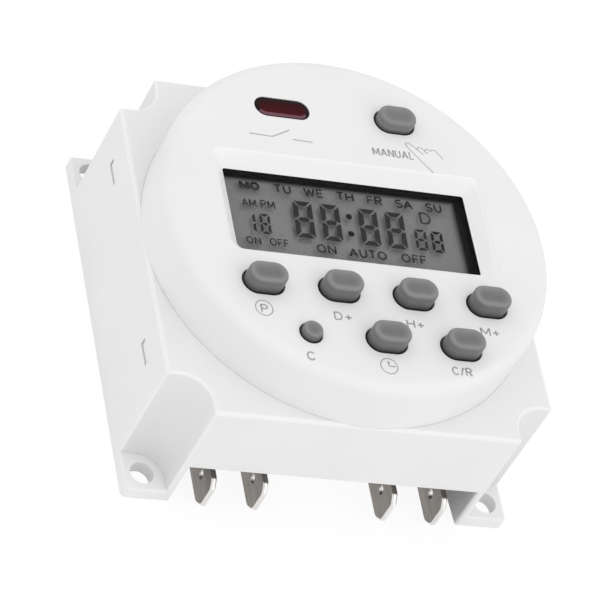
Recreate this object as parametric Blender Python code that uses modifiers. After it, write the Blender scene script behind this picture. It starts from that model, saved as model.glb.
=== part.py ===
"""Programmable timer: a square snap-together case with a round control face and blade terminals.

Frame: the back plane is z = 0, +Z points out of the control face, +Y to the top of the face.
All lengths are in metres.
"""
from math import asin, cos, pi, radians, sin

import bmesh
import bpy

MM = 0.001

# Gap between neighbouring pieces, and step between joined shapes that would share a plane
CLEAR = 0.3 * MM
STEP = 0.1 * MM

# Case
BODY_WIDTH = 60.0 * MM
FLANGE_HEIGHT = 21.7 * MM
FACE_HEIGHT = 30.6 * MM
WALL = 1.5 * MM
FACE_PLATE = 1.95 * MM
DISC_INSET = 0.05 * MM
SHOULDER = 1.75 * MM
EDGE_ROUND = 0.5 * MM

# Screw ears and the scooped pockets above them
POCKET = 6.35 * MM
POCKET_ROUND = 5.8 * MM
EAR_THICKNESS = 2.25 * MM
EAR_HOLE = 3.6 * MM
EAR_HOLE_INSET = 3.0 * MM

# Snap latches between case and back cover
LATCH_FROM_POCKET = 7.55 * MM
LATCH_LENGTH = 3.9 * MM
LATCH_LOW = 15.2 * MM
LATCH_HEIGHT = 1.5 * MM
LATCH_FLUSH = 0.15 * MM
ARM_THICKNESS = 1.2 * MM

# Back cover and power board
COVER = 1.5 * MM
STANDOFF = 1.2 * MM
STANDOFF_INSET = 4.15 * MM
STANDOFF_FROM_BAY = 10.25 * MM
STANDOFF_FROM_TOP = 5.65 * MM
STANDOFF_RADIUS = 2.4 * MM
BOARD = 1.6 * MM
BOARD_MARGIN = 0.8 * MM

# Terminal bay and blade terminals
BAY_HEIGHT = 8.45 * MM
BAY_DEPTH = 7.25 * MM
TAB_WIDTH = 6.3 * MM
TAB_THICKNESS = 0.8 * MM
TAB_LOW = 0.3 * MM
TAB_REACH = 1.4 * MM
TAB_TAPER = 1.2 * MM
TAB_CLIP = 1.2 * MM
TAB_COIN = 0.22 * MM
TAB_COIN_LENGTH = 0.3 * MM
TAB_HOLE = 1.7 * MM
TAB_HOLE_FROM_TIP = 3.5 * MM
TERMINAL_INSET = 4.09 * MM
TERMINAL_PITCH = 7.95 * MM
NECK_HEIGHT = 1.6 * MM
LEG_WIDTH = 1.4 * MM
LEG_INSET = 3.0 * MM
LEG_BELOW_BOARD = 0.8 * MM

# Display window, glass and frame
WINDOW_WIDTH = 38.1 * MM
WINDOW_HEIGHT = 13.9 * MM
WINDOW_Y = 1.45 * MM
BEZEL_SIDE = 1.85 * MM
BEZEL_TOP = 2.25 * MM
BEZEL_BOTTOM = 2.25 * MM
APERTURE_STEP = 0.3 * MM
LENS = 1.0 * MM
LCD = 2.8 * MM
LCD_LAP = 1.5 * MM
FRAME_WALL = 1.0 * MM
ZEBRA_HEIGHT = 1.8 * MM
ZEBRA_WIDTH = 1.6 * MM
ZEBRA_EDGE = 0.4 * MM

# Keys
KEY_LENGTH = 5.9 * MM
KEY_WIDTH = 3.8 * MM
KEY_PROUD = 2.5 * MM
KEY_ROUND = 0.9 * MM
KEY_DISH = 0.45 * MM
KEY_LIP = 0.7 * MM
KEY_FLANGE = 1.0 * MM
KEY_TRAVEL = 1.0 * MM
KEYPAD_X = 0.15 * MM
KEY_ROW_INSET = 11.1 * MM
KEY_ROW_RISE = 0.27 * MM
LOW_ROW_INSET = 7.18 * MM
MANUAL_X = 9.26 * MM
MANUAL_INSET = 9.06 * MM
MANUAL_PROUD = 1.8 * MM
PLUNGER_LENGTH = 3.6 * MM
PLUNGER_WIDTH = 2.6 * MM
RESET_DIAMETER = 2.95 * MM
RESET_PROUD = 1.1 * MM
RESET_ROUND = 0.5 * MM
RESET_TRAVEL = 0.6 * MM
RESET_PLUNGER = 1.8 * MM

# Indicator
INDICATOR_LENGTH = 7.9 * MM
INDICATOR_WIDTH = 2.8 * MM
INDICATOR_X = -8.65 * MM
INDICATOR_INSET = 9.0 * MM
INDICATOR_CHAMFER = 0.4 * MM
LED_RADIUS = 1.5 * MM
LED_RIM = 0.4 * MM

# Display board and keypad
BOARD_RIM_GAP = 0.7 * MM
MAT = 0.8 * MM
MAT_BORDER = 0.6 * MM
BOSS_RADIUS = 1.8 * MM
BOSS_INSET = 2.4 * MM
BOSS_ANGLES = (90.0, 226.0, 314.0)

# Screws
SHANK_RADIUS = 0.8 * MM
HEAD_RADIUS = 1.6 * MM
HEAD_HEIGHT = 1.2 * MM
DISPLAY_BITE = 4.0 * MM
COVER_BITE = 1.7 * MM

# Parts on the boards
RELAY_LENGTH = 18.5 * MM
RELAY_WIDTH = 13.5 * MM
RELAY_HEADROOM = 1.8 * MM
RELAY_FROM_BAY = 14.25 * MM
FILM_LENGTH = 13.0 * MM
FILM_WIDTH = 6.0 * MM
FILM_HEADROOM = 2.8 * MM
FILM_FROM_RELAY = 5.25 * MM
RECTIFIER_SIZE = (4.6 * MM, 6.4 * MM, 2.6 * MM)
RECTIFIER_FROM_FILM = 0.8 * MM
CAN_RADIUS = 3.2 * MM
CAN_HEADROOM = 3.8 * MM
CAN_FROM_RELAY = 1.05 * MM
CAN_BELOW_FILM = 3.5 * MM
VARISTOR_RADIUS = 3.6 * MM
VARISTOR_THICKNESS = 3.4 * MM
VARISTOR_FROM_RELAY = 1.65 * MM
VARISTOR_ABOVE_RELAY = 5.0 * MM
CELL_RADIUS = 6.0 * MM
CELL_HEIGHT = 5.0 * MM
CELL_INSET = 12.0 * MM
CELL_Y = 9.0 * MM
CELL_TAB = 0.3 * MM
CELL_TAB_WIDTH = 4.0 * MM
CHIP_RADIUS = 4.0 * MM
CHIP_HEIGHT = 1.1 * MM
CHIP_INSET = 13.75 * MM
CHIP_Y = -6.0 * MM
CRYSTAL_RADIUS = 1.0 * MM
CRYSTAL_LENGTH = 6.0 * MM
CRYSTAL_INSET = 15.75 * MM
CRYSTAL_Y = 15.0 * MM
RIBBON_WIDTH = 10.0 * MM
RIBBON_THICKNESS = 0.6 * MM
RIBBON_BOW = 2.5 * MM
RIBBON_FROM_TOP = 4.15 * MM
SOFT_EDGE = 0.4 * MM

# Facets
DISC_STEPS = 96
ROUND_STEPS = 16
ARC_STEPS = 6
END_STEPS = 7

# Places worked out from the sizes above
HALF = BODY_WIDTH / 2
DISC_RADIUS = HALF - DISC_INSET
CAVITY_RADIUS = DISC_RADIUS - WALL
FLANGE_INNER = FLANGE_HEIGHT - WALL
FACE_INNER = FACE_HEIGHT - FACE_PLATE
UNDER_FACE = FACE_INNER - CLEAR
POCKET_EDGE = HALF - POCKET
POCKET_CENTRE = POCKET_EDGE + POCKET_ROUND
BAY_HALF = POCKET_EDGE - WALL
BAY_WALL_OUTER = BAY_DEPTH - HALF
BAY_WALL_INNER = BAY_WALL_OUTER + WALL
LATCH_Y = POCKET_EDGE - LATCH_FROM_POCKET
PAST = 1.0 * MM

POWER_BOARD_LOW = COVER + STANDOFF + CLEAR
POWER_BOARD_TOP = POWER_BOARD_LOW + BOARD
ON_POWER_BOARD = POWER_BOARD_TOP + CLEAR
STANDOFF_X = BAY_HALF - STANDOFF_INSET
STANDOFF_LOW_Y = BAY_WALL_INNER + STANDOFF_FROM_BAY
STANDOFF_HIGH_Y = BAY_HALF - STANDOFF_FROM_TOP
TERMINAL_OUTER_X = BAY_HALF - TERMINAL_INSET
TERMINAL_INNER_X = TERMINAL_OUTER_X - TERMINAL_PITCH
RELAY_Y = BAY_WALL_INNER + RELAY_FROM_BAY
FILM_Y = RELAY_Y + RELAY_WIDTH / 2 + FILM_FROM_RELAY + FILM_WIDTH / 2
RECTIFIER_X = FILM_LENGTH / 2 + RECTIFIER_FROM_FILM + RECTIFIER_SIZE[0] / 2
CAN_X = -RELAY_LENGTH / 2 - CAN_FROM_RELAY - CAN_RADIUS
CAN_Y = FILM_Y - CAN_BELOW_FILM
VARISTOR_X = RELAY_LENGTH / 2 + VARISTOR_FROM_RELAY + VARISTOR_RADIUS
VARISTOR_Y = RELAY_Y + VARISTOR_ABOVE_RELAY
RIBBON_Y = BAY_HALF - RIBBON_FROM_TOP

APERTURE_X = WINDOW_WIDTH / 2 + APERTURE_STEP
APERTURE_Y = WINDOW_HEIGHT / 2 + APERTURE_STEP
LCD_X = APERTURE_X + LCD_LAP
LCD_Y = APERTURE_Y + LCD_LAP
LENS_LOW = UNDER_FACE - LENS
LCD_TOP = LENS_LOW - CLEAR
LCD_LOW = LCD_TOP - LCD
DISPLAY_BOARD_TOP = LCD_LOW - ZEBRA_HEIGHT - 2 * CLEAR
DISPLAY_BOARD_LOW = DISPLAY_BOARD_TOP - BOARD
ON_DISPLAY_BOARD = DISPLAY_BOARD_TOP + CLEAR
UNDER_DISPLAY_BOARD = DISPLAY_BOARD_LOW - CLEAR
DISPLAY_BOARD_RADIUS = CAVITY_RADIUS - BOARD_RIM_GAP
BOARD_ROOM = UNDER_DISPLAY_BOARD - ON_POWER_BOARD
CELL_X = DISPLAY_BOARD_RADIUS - CELL_INSET
CHIP_X = CHIP_INSET - DISPLAY_BOARD_RADIUS
CRYSTAL_X = CRYSTAL_INSET - DISPLAY_BOARD_RADIUS

FLANGE_TOP = UNDER_FACE
FLANGE_LOW = FLANGE_TOP - KEY_FLANGE
PILOT_RADIUS = SHANK_RADIUS + CLEAR

LOW_ROW_Y = LOW_ROW_INSET - CAVITY_RADIUS
KEY_ROW_Y = (WINDOW_Y - WINDOW_HEIGHT / 2 + LOW_ROW_Y) / 2 + KEY_ROW_RISE
KEY_PITCH = (CAVITY_RADIUS - KEY_ROW_INSET) / 1.5
ROW_X = [KEYPAD_X + KEY_PITCH * (index - 1.5) for index in range(4)]
MANUAL_Y = CAVITY_RADIUS - MANUAL_INSET
INDICATOR_Y = CAVITY_RADIUS - INDICATOR_INSET
KEY_PLACES = {
    "key_program": (ROW_X[0], KEY_ROW_Y),
    "key_day": (ROW_X[1], KEY_ROW_Y),
    "key_hour": (ROW_X[2], KEY_ROW_Y),
    "key_minute": (ROW_X[3], KEY_ROW_Y),
    "key_clock": (KEYPAD_X, LOW_ROW_Y),
    "key_cancel": (KEYPAD_X + KEY_PITCH, LOW_ROW_Y),
    "key_manual": (MANUAL_X, MANUAL_Y),
}
RESET_PLACE = (KEYPAD_X - KEY_PITCH, LOW_ROW_Y)
BOSS_RING = CAVITY_RADIUS - BOSS_INSET
BOSS_PLACES = [(BOSS_RING * cos(radians(a)), BOSS_RING * sin(radians(a))) for a in BOSS_ANGLES]
STANDOFF_PLACES = [
    (-STANDOFF_X, STANDOFF_LOW_Y),
    (STANDOFF_X, STANDOFF_LOW_Y),
    (-STANDOFF_X, STANDOFF_HIGH_Y),
    (STANDOFF_X, STANDOFF_HIGH_Y),
]
TERMINAL_X = [-TERMINAL_OUTER_X, -TERMINAL_INNER_X, TERMINAL_INNER_X, TERMINAL_OUTER_X]
LEG_Y = BAY_WALL_INNER + LEG_INSET

# Points closer than this are one point, and faces within this angle are one face
WELD = 0.001 * MM
FLAT_ANGLE = radians(0.05)

# Turns of an outline drawn flat, so that its plane becomes YZ or XZ
FLAT_TO_YZ = (pi / 2, 0.0, pi / 2)
FLAT_TO_XZ = (pi / 2, 0.0, 0.0)

# Colour, roughness and metallic value of each finish
FINISHES = {
    "white_case": ((0.79, 0.79, 0.79, 1.0), 0.42, 0.0),
    "grey_key": ((0.23, 0.23, 0.23, 1.0), 0.55, 0.0),
    "black_frame": ((0.02, 0.02, 0.02, 1.0), 0.6, 0.0),
    "clear_lens": ((0.95, 0.95, 0.95, 1.0), 0.05, 0.0),
    "lcd_glass": ((0.16, 0.16, 0.16, 1.0), 0.25, 0.0),
    "red_lens": ((0.07, 0.008, 0.012, 1.0), 0.2, 0.0),
    "terminal_tin": ((0.55, 0.53, 0.5, 1.0), 0.35, 1.0),
    "screw_steel": ((0.6, 0.6, 0.62, 1.0), 0.3, 1.0),
    "board_green": ((0.03, 0.16, 0.07, 1.0), 0.45, 0.0),
    "dark_part": ((0.04, 0.04, 0.045, 1.0), 0.5, 0.0),
    "rubber_mat": ((0.3, 0.3, 0.3, 1.0), 0.7, 0.0),
    "blue_part": ((0.05, 0.16, 0.42, 1.0), 0.4, 0.0),
    "yellow_film": ((0.6, 0.45, 0.06, 1.0), 0.45, 0.0),
    "cell_steel": ((0.65, 0.65, 0.65, 1.0), 0.3, 1.0),
    "ribbon_grey": ((0.45, 0.45, 0.47, 1.0), 0.5, 0.0),
}

PARTS = None
CUTTERS = None


def clear_scene():
    for item in list(bpy.data.objects):
        bpy.data.objects.remove(item, do_unlink=True)


def new_collection(name):
    collection = bpy.data.collections.new(name)
    bpy.context.scene.collection.children.link(collection)
    return collection


def finish_material(name):
    material = bpy.data.materials.get(name)
    if material is None:
        colour, roughness, metallic = FINISHES[name]
        material = bpy.data.materials.new(name)
        material.use_nodes = True
        shader = material.node_tree.nodes["Principled BSDF"]
        shader.inputs["Base Color"].default_value = colour
        shader.inputs["Roughness"].default_value = roughness
        shader.inputs["Metallic"].default_value = metallic
    return material


def part(name, mesh, finish, location=(0, 0, 0), rotation=(0, 0, 0)):
    """Put a mesh into the model as a named piece."""
    piece = bpy.data.objects.new(name, mesh)
    PARTS.objects.link(piece)
    piece.location = location
    piece.rotation_euler = rotation
    mesh.materials.append(finish_material(finish))
    mesh.shade_smooth()
    mesh.set_sharp_from_angle(angle=radians(30))
    return piece


def tool(name, mesh, location=(0, 0, 0), rotation=(0, 0, 0)):
    """Put a mesh among the hidden shapes that cut or extend a piece."""
    shape = bpy.data.objects.new(name, mesh)
    CUTTERS.objects.link(shape)
    shape.location = location
    shape.rotation_euler = rotation
    shape.hide_render = True
    shape.display_type = "WIRE"
    return shape


def combine(piece, shape, operation):
    modifier = piece.modifiers.new(shape.name, "BOOLEAN")
    modifier.operation = operation
    modifier.object = shape
    modifier.solver = "EXACT"


def cut(piece, shape):
    combine(piece, shape, "DIFFERENCE")


def join(piece, shape):
    combine(piece, shape, "UNION")


def mesh_of(name, bm):
    bmesh.ops.recalc_face_normals(bm, faces=bm.faces)
    mesh = bpy.data.meshes.new(name)
    bm.to_mesh(mesh)
    bm.free()
    return mesh


def box_mesh(name, low, high):
    bm = bmesh.new()
    bmesh.ops.create_cube(bm, size=1.0)
    for vert in bm.verts:
        vert.co = [a + (b - a) * (c + 0.5) for a, b, c in zip(low, high, vert.co)]
    return mesh_of(name, bm)


def centred_box(name, size, centre, low):
    """A box of the given size, centred on (x, y) and standing on the height low."""
    corner = (centre[0] - size[0] / 2, centre[1] - size[1] / 2, low)
    return box_mesh(name, corner, [a + b for a, b in zip(corner, size)])


def outline_mesh(name, loops, low, high):
    """Flat outlines, with loops inside others as holes, raised from low to high along Z."""
    curve = bpy.data.curves.new(name, "CURVE")
    curve.dimensions = "2D"
    curve.fill_mode = "BOTH"
    curve.extrude = (high - low) / 2
    for loop in loops:
        spline = curve.splines.new("POLY")
        spline.points.add(len(loop) - 1)
        for point, (x, y) in zip(spline.points, loop):
            point.co = (x, y, 0.0, 1.0)
        spline.use_cyclic_u = True
    drawn = bpy.data.objects.new(name, curve)
    CUTTERS.objects.link(drawn)
    evaluated = drawn.evaluated_get(bpy.context.evaluated_depsgraph_get())
    raised = bpy.data.meshes.new_from_object(evaluated)
    bpy.data.objects.remove(drawn, do_unlink=True)
    bm = bmesh.new()
    bm.from_mesh(raised)
    bpy.data.meshes.remove(raised)
    bmesh.ops.remove_doubles(bm, verts=bm.verts, dist=WELD)
    bmesh.ops.dissolve_limit(bm, angle_limit=FLAT_ANGLE, verts=bm.verts, edges=bm.edges)
    bmesh.ops.translate(bm, verts=bm.verts, vec=(0.0, 0.0, (low + high) / 2))
    return mesh_of(name, bm)


def loft_mesh(name, sections):
    """A skin over a stack of loops with equal numbers of points, closed at both ends."""
    bm = bmesh.new()
    rings = [[bm.verts.new(point) for point in section] for section in sections]
    for lower, upper in zip(rings, rings[1:]):
        for index, vert in enumerate(lower):
            other = (index + 1) % len(lower)
            bm.faces.new((vert, lower[other], upper[other], upper[index]))
    bm.faces.new(rings[0][::-1])
    bm.faces.new(rings[-1])
    return mesh_of(name, bm)


def turn(piece, steps):
    """Sweep a profile in the XZ plane once round the Z axis."""
    screw = piece.modifiers.new("turned", "SCREW")
    screw.angle = 2 * pi
    screw.steps = steps
    screw.render_steps = steps
    screw.use_merge_vertices = True
    screw.merge_threshold = 0.00001
    return piece


def profile_mesh(name, profile):
    """A line of (radius, height) points, from the top of the axis down its outer side."""
    mesh = bpy.data.meshes.new(name)
    points = [(radius, 0.0, height) for radius, height in profile]
    edges = [(index, index + 1) for index in range(len(points) - 1)]
    mesh.from_pydata(points, edges, [])
    return mesh


def turned_part(name, profile, finish, steps=ROUND_STEPS, location=(0, 0, 0), rotation=(0, 0, 0)):
    return turn(part(name, profile_mesh(name, profile), finish, location, rotation), steps)


def turned_tool(name, profile, steps=ROUND_STEPS, location=(0, 0, 0)):
    return turn(tool(name, profile_mesh(name, profile), location), steps)


def rod_profile(radius, low, high):
    return [(0.0, high), (radius, high), (radius, low), (0.0, low)]


def arc(centre, radius, start, end, steps=ARC_STEPS):
    """Points on an arc from one angle to another, in degrees."""
    turns = [radians(start + (end - start) * step / steps) for step in range(steps + 1)]
    return [(centre[0] + radius * cos(a), centre[1] + radius * sin(a)) for a in turns]


def circle(centre, diameter, steps=ROUND_STEPS):
    return arc(centre, diameter / 2, 0.0, 360.0, steps)[:-1]


def stadium(centre, length, width):
    """An outline with straight sides and round ends, or a circle if it is as wide as long."""
    if length <= width:
        return circle(centre, width, 2 * END_STEPS + 2)
    straight = (length - width) / 2
    right = arc((centre[0] + straight, centre[1]), width / 2, -90.0, 90.0, END_STEPS)
    left = arc((centre[0] - straight, centre[1]), width / 2, 90.0, 270.0, END_STEPS)
    return right + left


def rectangle(centre, half_x, half_y):
    x, y = centre
    return [
        (x - half_x, y - half_y),
        (x + half_x, y - half_y),
        (x + half_x, y + half_y),
        (x - half_x, y + half_y),
    ]


def mirrored(points, side_x, side_y):
    """Points of the first quadrant moved to another, kept running anticlockwise."""
    flipped = [(side_x * x, side_y * y) for x, y in points]
    return flipped if side_x * side_y > 0 else flipped[::-1]


def pocket_outline(side_x, side_y):
    """The corner that a screw pocket takes out of the square body."""
    outside = HALF + POCKET_ROUND
    scoop = arc((POCKET_CENTRE, POCKET_CENTRE), POCKET_ROUND, 270.0, 180.0)
    points = [(outside, outside), (POCKET_EDGE, outside)] + scoop[::-1] + [(outside, POCKET_EDGE)]
    return mirrored(points, side_x, side_y)


def inner_corner(inset):
    """The inside of the case wall round one pocket, from its right side to its top side."""
    side = HALF - inset
    radius = POCKET_ROUND + inset
    reach = min(POCKET_CENTRE, side)
    skipped = asin((POCKET_CENTRE - reach) / radius) * 180.0 / pi
    points = arc((POCKET_CENTRE, POCKET_CENTRE), radius, 270.0 - skipped, 180.0 + skipped)
    if POCKET_CENTRE < side:
        points = [(side, points[0][1])] + points + [(points[-1][0], side)]
    return points


def upper_case_outline():
    """The inside of the case above the terminal bay: all four pockets bulge into it."""
    loop = []
    for side_x, side_y in ((1, 1), (-1, 1), (-1, -1), (1, -1)):
        loop += mirrored(inner_corner(WALL), side_x, side_y)
    return loop


def lower_case_outline(inset, low):
    """The inside of the case beside the terminal bay, down to the height low on the face."""
    side = HALF - inset
    upper = mirrored(inner_corner(inset), 1, 1) + mirrored(inner_corner(inset), -1, 1)
    return upper + [(-side, low), (side, low)]


def round_edges(mesh, radius, segments, chosen):
    """Round those edges of a mesh that the test picks."""
    bm = bmesh.new()
    bm.from_mesh(mesh)
    edges = [edge for edge in bm.edges if chosen(edge)]
    bmesh.ops.bevel(bm, geom=edges, offset=radius, segments=segments, profile=0.5, affect="EDGES")
    bm.to_mesh(mesh)
    bm.free()


def is_upright(edge):
    first, second = (vert.co for vert in edge.verts)
    return abs(first.z - second.z) > CLEAR


def is_front_rim(edge):
    return all(vert.co.z > FLANGE_HEIGHT - CLEAR for vert in edge.verts)


def case_block():
    mesh = box_mesh("front_housing", (-HALF, -HALF, 0.0), (HALF, HALF, FLANGE_HEIGHT))
    round_edges(mesh, EDGE_ROUND, 2, is_upright)
    round_edges(mesh, EDGE_ROUND, 2, is_front_rim)
    return part("front_housing", mesh, "white_case")


def control_disc():
    """The round front, with a rounded shoulder, sunk a little into the square body."""
    shoulder = arc((DISC_RADIUS - SHOULDER, FACE_HEIGHT - SHOULDER), SHOULDER, 90.0, 0.0, 4)
    sunk = FLANGE_HEIGHT - WALL - PAST
    profile = [(0.0, FACE_HEIGHT)] + shoulder + [(DISC_RADIUS, sunk), (0.0, sunk)]
    return turned_tool("control_disc", profile, DISC_STEPS)


def window_funnel():
    """The sloping opening in front of the display, narrow behind and wide in front."""
    deep = FACE_INNER - PAST
    proud = FACE_HEIGHT + PAST
    half_x = WINDOW_WIDTH / 2
    half_y = WINDOW_HEIGHT / 2
    grow = (proud - FACE_INNER) / FACE_PLATE
    back = rectangle((0.0, WINDOW_Y), half_x, half_y)
    front = [
        (-half_x - BEZEL_SIDE * grow, WINDOW_Y - half_y - BEZEL_BOTTOM * grow),
        (half_x + BEZEL_SIDE * grow, WINDOW_Y - half_y - BEZEL_BOTTOM * grow),
        (half_x + BEZEL_SIDE * grow, WINDOW_Y + half_y + BEZEL_TOP * grow),
        (-half_x - BEZEL_SIDE * grow, WINDOW_Y + half_y + BEZEL_TOP * grow),
    ]
    levels = [(back, deep), (back, FACE_INNER), (front, proud)]
    return tool("window_funnel", loft_mesh("window_funnel", [
        [(x, y, height) for x, y in loop] for loop, height in levels
    ]))


def face_openings():
    """The holes that the keys and the indicator stand in."""
    loops = [
        stadium(place, KEY_LENGTH + 2 * CLEAR, KEY_WIDTH + 2 * CLEAR)
        for place in KEY_PLACES.values()
    ]
    loops.append(circle(RESET_PLACE, RESET_DIAMETER + 2 * CLEAR))
    indicator = (INDICATOR_X, INDICATOR_Y)
    loops.append(stadium(indicator, INDICATOR_LENGTH + 2 * CLEAR, INDICATOR_WIDTH + 2 * CLEAR))
    return tool("face_openings", outline_mesh("face_openings", loops, FACE_INNER - PAST, FACE_HEIGHT + PAST))


def corners():
    return [(side_x, side_y) for side_x in (-1, 1) for side_y in (-1, 1)]


def front_housing():
    case = case_block()
    join(case, control_disc())
    pockets = [pocket_outline(side_x, side_y) for side_x, side_y in corners()]
    cut(case, tool("pockets", outline_mesh("pockets", pockets, EAR_THICKNESS, FACE_HEIGHT + PAST)))
    upper = outline_mesh("upper_room", [upper_case_outline()], BAY_HEIGHT + WALL, FLANGE_INNER)
    cut(case, tool("upper_room", upper))
    lower_loop = lower_case_outline(WALL, BAY_WALL_INNER)
    lower = outline_mesh("lower_room", [lower_loop], -PAST, BAY_HEIGHT + WALL + PAST)
    cut(case, tool("lower_room", lower))
    bay = box_mesh("bay", (-BAY_HALF, -HALF - PAST, -PAST), (BAY_HALF, BAY_WALL_INNER + PAST, BAY_HEIGHT))
    cut(case, tool("bay", bay))
    disc_room = rod_profile(CAVITY_RADIUS, FLANGE_INNER - PAST, FACE_INNER)
    cut(case, turned_tool("disc_room", disc_room, DISC_STEPS))
    cut(case, window_funnel())
    cut(case, face_openings())
    inset = HALF - EAR_HOLE_INSET
    holes = [circle((side_x * inset, side_y * inset), EAR_HOLE) for side_x, side_y in corners()]
    cut(case, tool("ear_holes", outline_mesh("ear_holes", holes, -PAST, EAR_THICKNESS + PAST)))
    for side in (-1, 1):
        name = "latch_windows_low" if side < 0 else "latch_windows_high"
        size = (BODY_WIDTH + 2 * PAST, LATCH_LENGTH, LATCH_HEIGHT)
        cut(case, tool(name, centred_box(name, size, (0.0, side * LATCH_Y), LATCH_LOW)))
    bosses = [circle(place, 2 * BOSS_RADIUS) for place in BOSS_PLACES]
    boss_mesh = outline_mesh("face_bosses", bosses, ON_DISPLAY_BOARD, FACE_INNER + FACE_PLATE / 2)
    join(case, tool("face_bosses", boss_mesh))
    pilots = [circle(place, 2 * PILOT_RADIUS, 12) for place in BOSS_PLACES]
    bottom = ON_DISPLAY_BOARD + DISPLAY_BITE + CLEAR
    cut(case, tool("face_pilots", outline_mesh("face_pilots", pilots, ON_DISPLAY_BOARD - PAST, bottom)))


def latch_arm(name, side_x, side_y):
    """A snap arm whose barb fills a window in the case wall."""
    outer = HALF - WALL - CLEAR - STEP
    barb = HALF - LATCH_FLUSH
    barb_low = LATCH_LOW + CLEAR
    barb_top = LATCH_LOW + LATCH_HEIGHT - CLEAR
    tip = barb_top + LATCH_HEIGHT
    points = [
        (outer - ARM_THICKNESS, COVER / 2),
        (outer, COVER / 2),
        (outer, barb_low),
        (barb, barb_low),
        (barb, barb_top),
        (outer, barb_top),
        (outer - ARM_THICKNESS / 2, tip),
        (outer - ARM_THICKNESS, tip),
    ]
    loop = mirrored([(x, z) for x, z in points], side_x, 1)
    width = LATCH_LENGTH / 2 - CLEAR
    mesh = outline_mesh(name, [loop], -width, width)
    return tool(name, mesh, (0.0, side_y * LATCH_Y, 0.0), FLAT_TO_XZ)


def back_cover():
    plate_edge = BAY_WALL_INNER + CLEAR
    tongue = BAY_HALF - CLEAR
    loop = lower_case_outline(WALL + CLEAR, plate_edge + STEP)
    loop[-1:] = [
        (-tongue, plate_edge),
        (-tongue, BAY_WALL_OUTER),
        (tongue, BAY_WALL_OUTER),
        (tongue, plate_edge),
        loop[-1],
    ]
    cover = part("back_cover", outline_mesh("back_cover", [loop], 0.0, COVER), "white_case")
    wall_low = (STEP - tongue, BAY_WALL_OUTER + STEP, COVER / 2)
    wall_high = (tongue - STEP, BAY_WALL_INNER, BAY_HEIGHT - CLEAR)
    join(cover, tool("bay_wall", box_mesh("bay_wall", wall_low, wall_high)))
    for index, (side_x, side_y) in enumerate(corners()):
        join(cover, latch_arm(f"latch_arm_{index + 1}", side_x, side_y))
    top = POWER_BOARD_LOW - CLEAR
    posts = [circle(place, 2 * STANDOFF_RADIUS) for place in STANDOFF_PLACES]
    join(cover, tool("standoffs", outline_mesh("standoffs", posts, COVER / 2, top)))
    pilots = [circle(place, 2 * PILOT_RADIUS, 12) for place in STANDOFF_PLACES]
    bottom = top - COVER_BITE - CLEAR
    cut(cover, tool("cover_pilots", outline_mesh("cover_pilots", pilots, bottom, top + PAST)))
    slot_low = ON_POWER_BOARD - CLEAR
    slot_size = (TAB_THICKNESS + 2 * CLEAR, WALL + 2 * PAST, NECK_HEIGHT + 2 * CLEAR)
    slot_y = (BAY_WALL_OUTER + BAY_WALL_INNER) / 2
    for index, x in enumerate(TERMINAL_X):
        name = f"neck_slot_{index + 1}"
        cut(cover, tool(name, centred_box(name, slot_size, (x, slot_y), slot_low)))


def tip_coining(name, x, tip):
    """The two wedges that thin the blade towards its tip."""
    slope = TAB_COIN / TAB_COIN_LENGTH
    start = (TAB_THICKNESS / 2 - TAB_COIN - slope * PAST, tip - PAST)
    end = (TAB_THICKNESS / 2 + slope * PAST, tip + TAB_COIN_LENGTH + PAST)
    wedge = [start, (end[0], start[1]), end]
    wedges = [mirrored(wedge, side, 1) for side in (-1, 1)]
    mesh = outline_mesh(name, wedges, TAB_LOW - PAST, TAB_LOW + TAB_WIDTH + PAST)
    return tool(name, mesh, (x, 0.0, 0.0))


def terminal(name, x):
    """A blade with a coined tip, a neck through the bay wall and a leg through the board."""
    tip = -HALF - TAB_REACH
    shoulder = BAY_WALL_OUTER - CLEAR
    tab_top = TAB_LOW + TAB_WIDTH
    neck_top = ON_POWER_BOARD + NECK_HEIGHT
    leg_far = LEG_Y + LEG_WIDTH / 2
    leg_near = LEG_Y - LEG_WIDTH / 2
    leg_low = POWER_BOARD_LOW - LEG_BELOW_BOARD
    loop = [
        (tip, TAB_LOW + TAB_CLIP),
        (tip + TAB_TAPER, TAB_LOW),
        (shoulder, TAB_LOW),
        (shoulder, ON_POWER_BOARD),
        (leg_near, ON_POWER_BOARD),
        (leg_near, leg_low),
        (leg_far, leg_low),
        (leg_far, neck_top),
        (shoulder, neck_top),
        (shoulder, tab_top),
        (tip + TAB_TAPER, tab_top),
        (tip, tab_top - TAB_CLIP),
    ]
    detent = circle((tip + TAB_HOLE_FROM_TIP, TAB_LOW + TAB_WIDTH / 2), TAB_HOLE)
    mesh = outline_mesh(name, [loop, detent], -TAB_THICKNESS / 2, TAB_THICKNESS / 2)
    blade = part(name, mesh, "terminal_tin", (x, 0.0, 0.0), FLAT_TO_YZ)
    cut(blade, tip_coining(name + "_coin", x, tip))


def screw(name, place, seat, bite, upwards):
    """A pan-head screw: its head bears on the height seat and its shank runs away from it."""
    crown = HEAD_HEIGHT / 3
    shank = BOARD + 2 * CLEAR + bite
    profile = [
        (0.0, HEAD_HEIGHT),
        (HEAD_RADIUS - crown, HEAD_HEIGHT),
        (HEAD_RADIUS, HEAD_HEIGHT - crown),
        (HEAD_RADIUS, 0.0),
        (SHANK_RADIUS, 0.0),
        (SHANK_RADIUS, -shank),
        (0.0, -shank),
    ]
    rotation = (pi, 0.0, 0.0) if upwards else (0.0, 0.0, 0.0)
    turned_part(name, profile, "screw_steel", 12, (place[0], place[1], seat), rotation)


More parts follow.
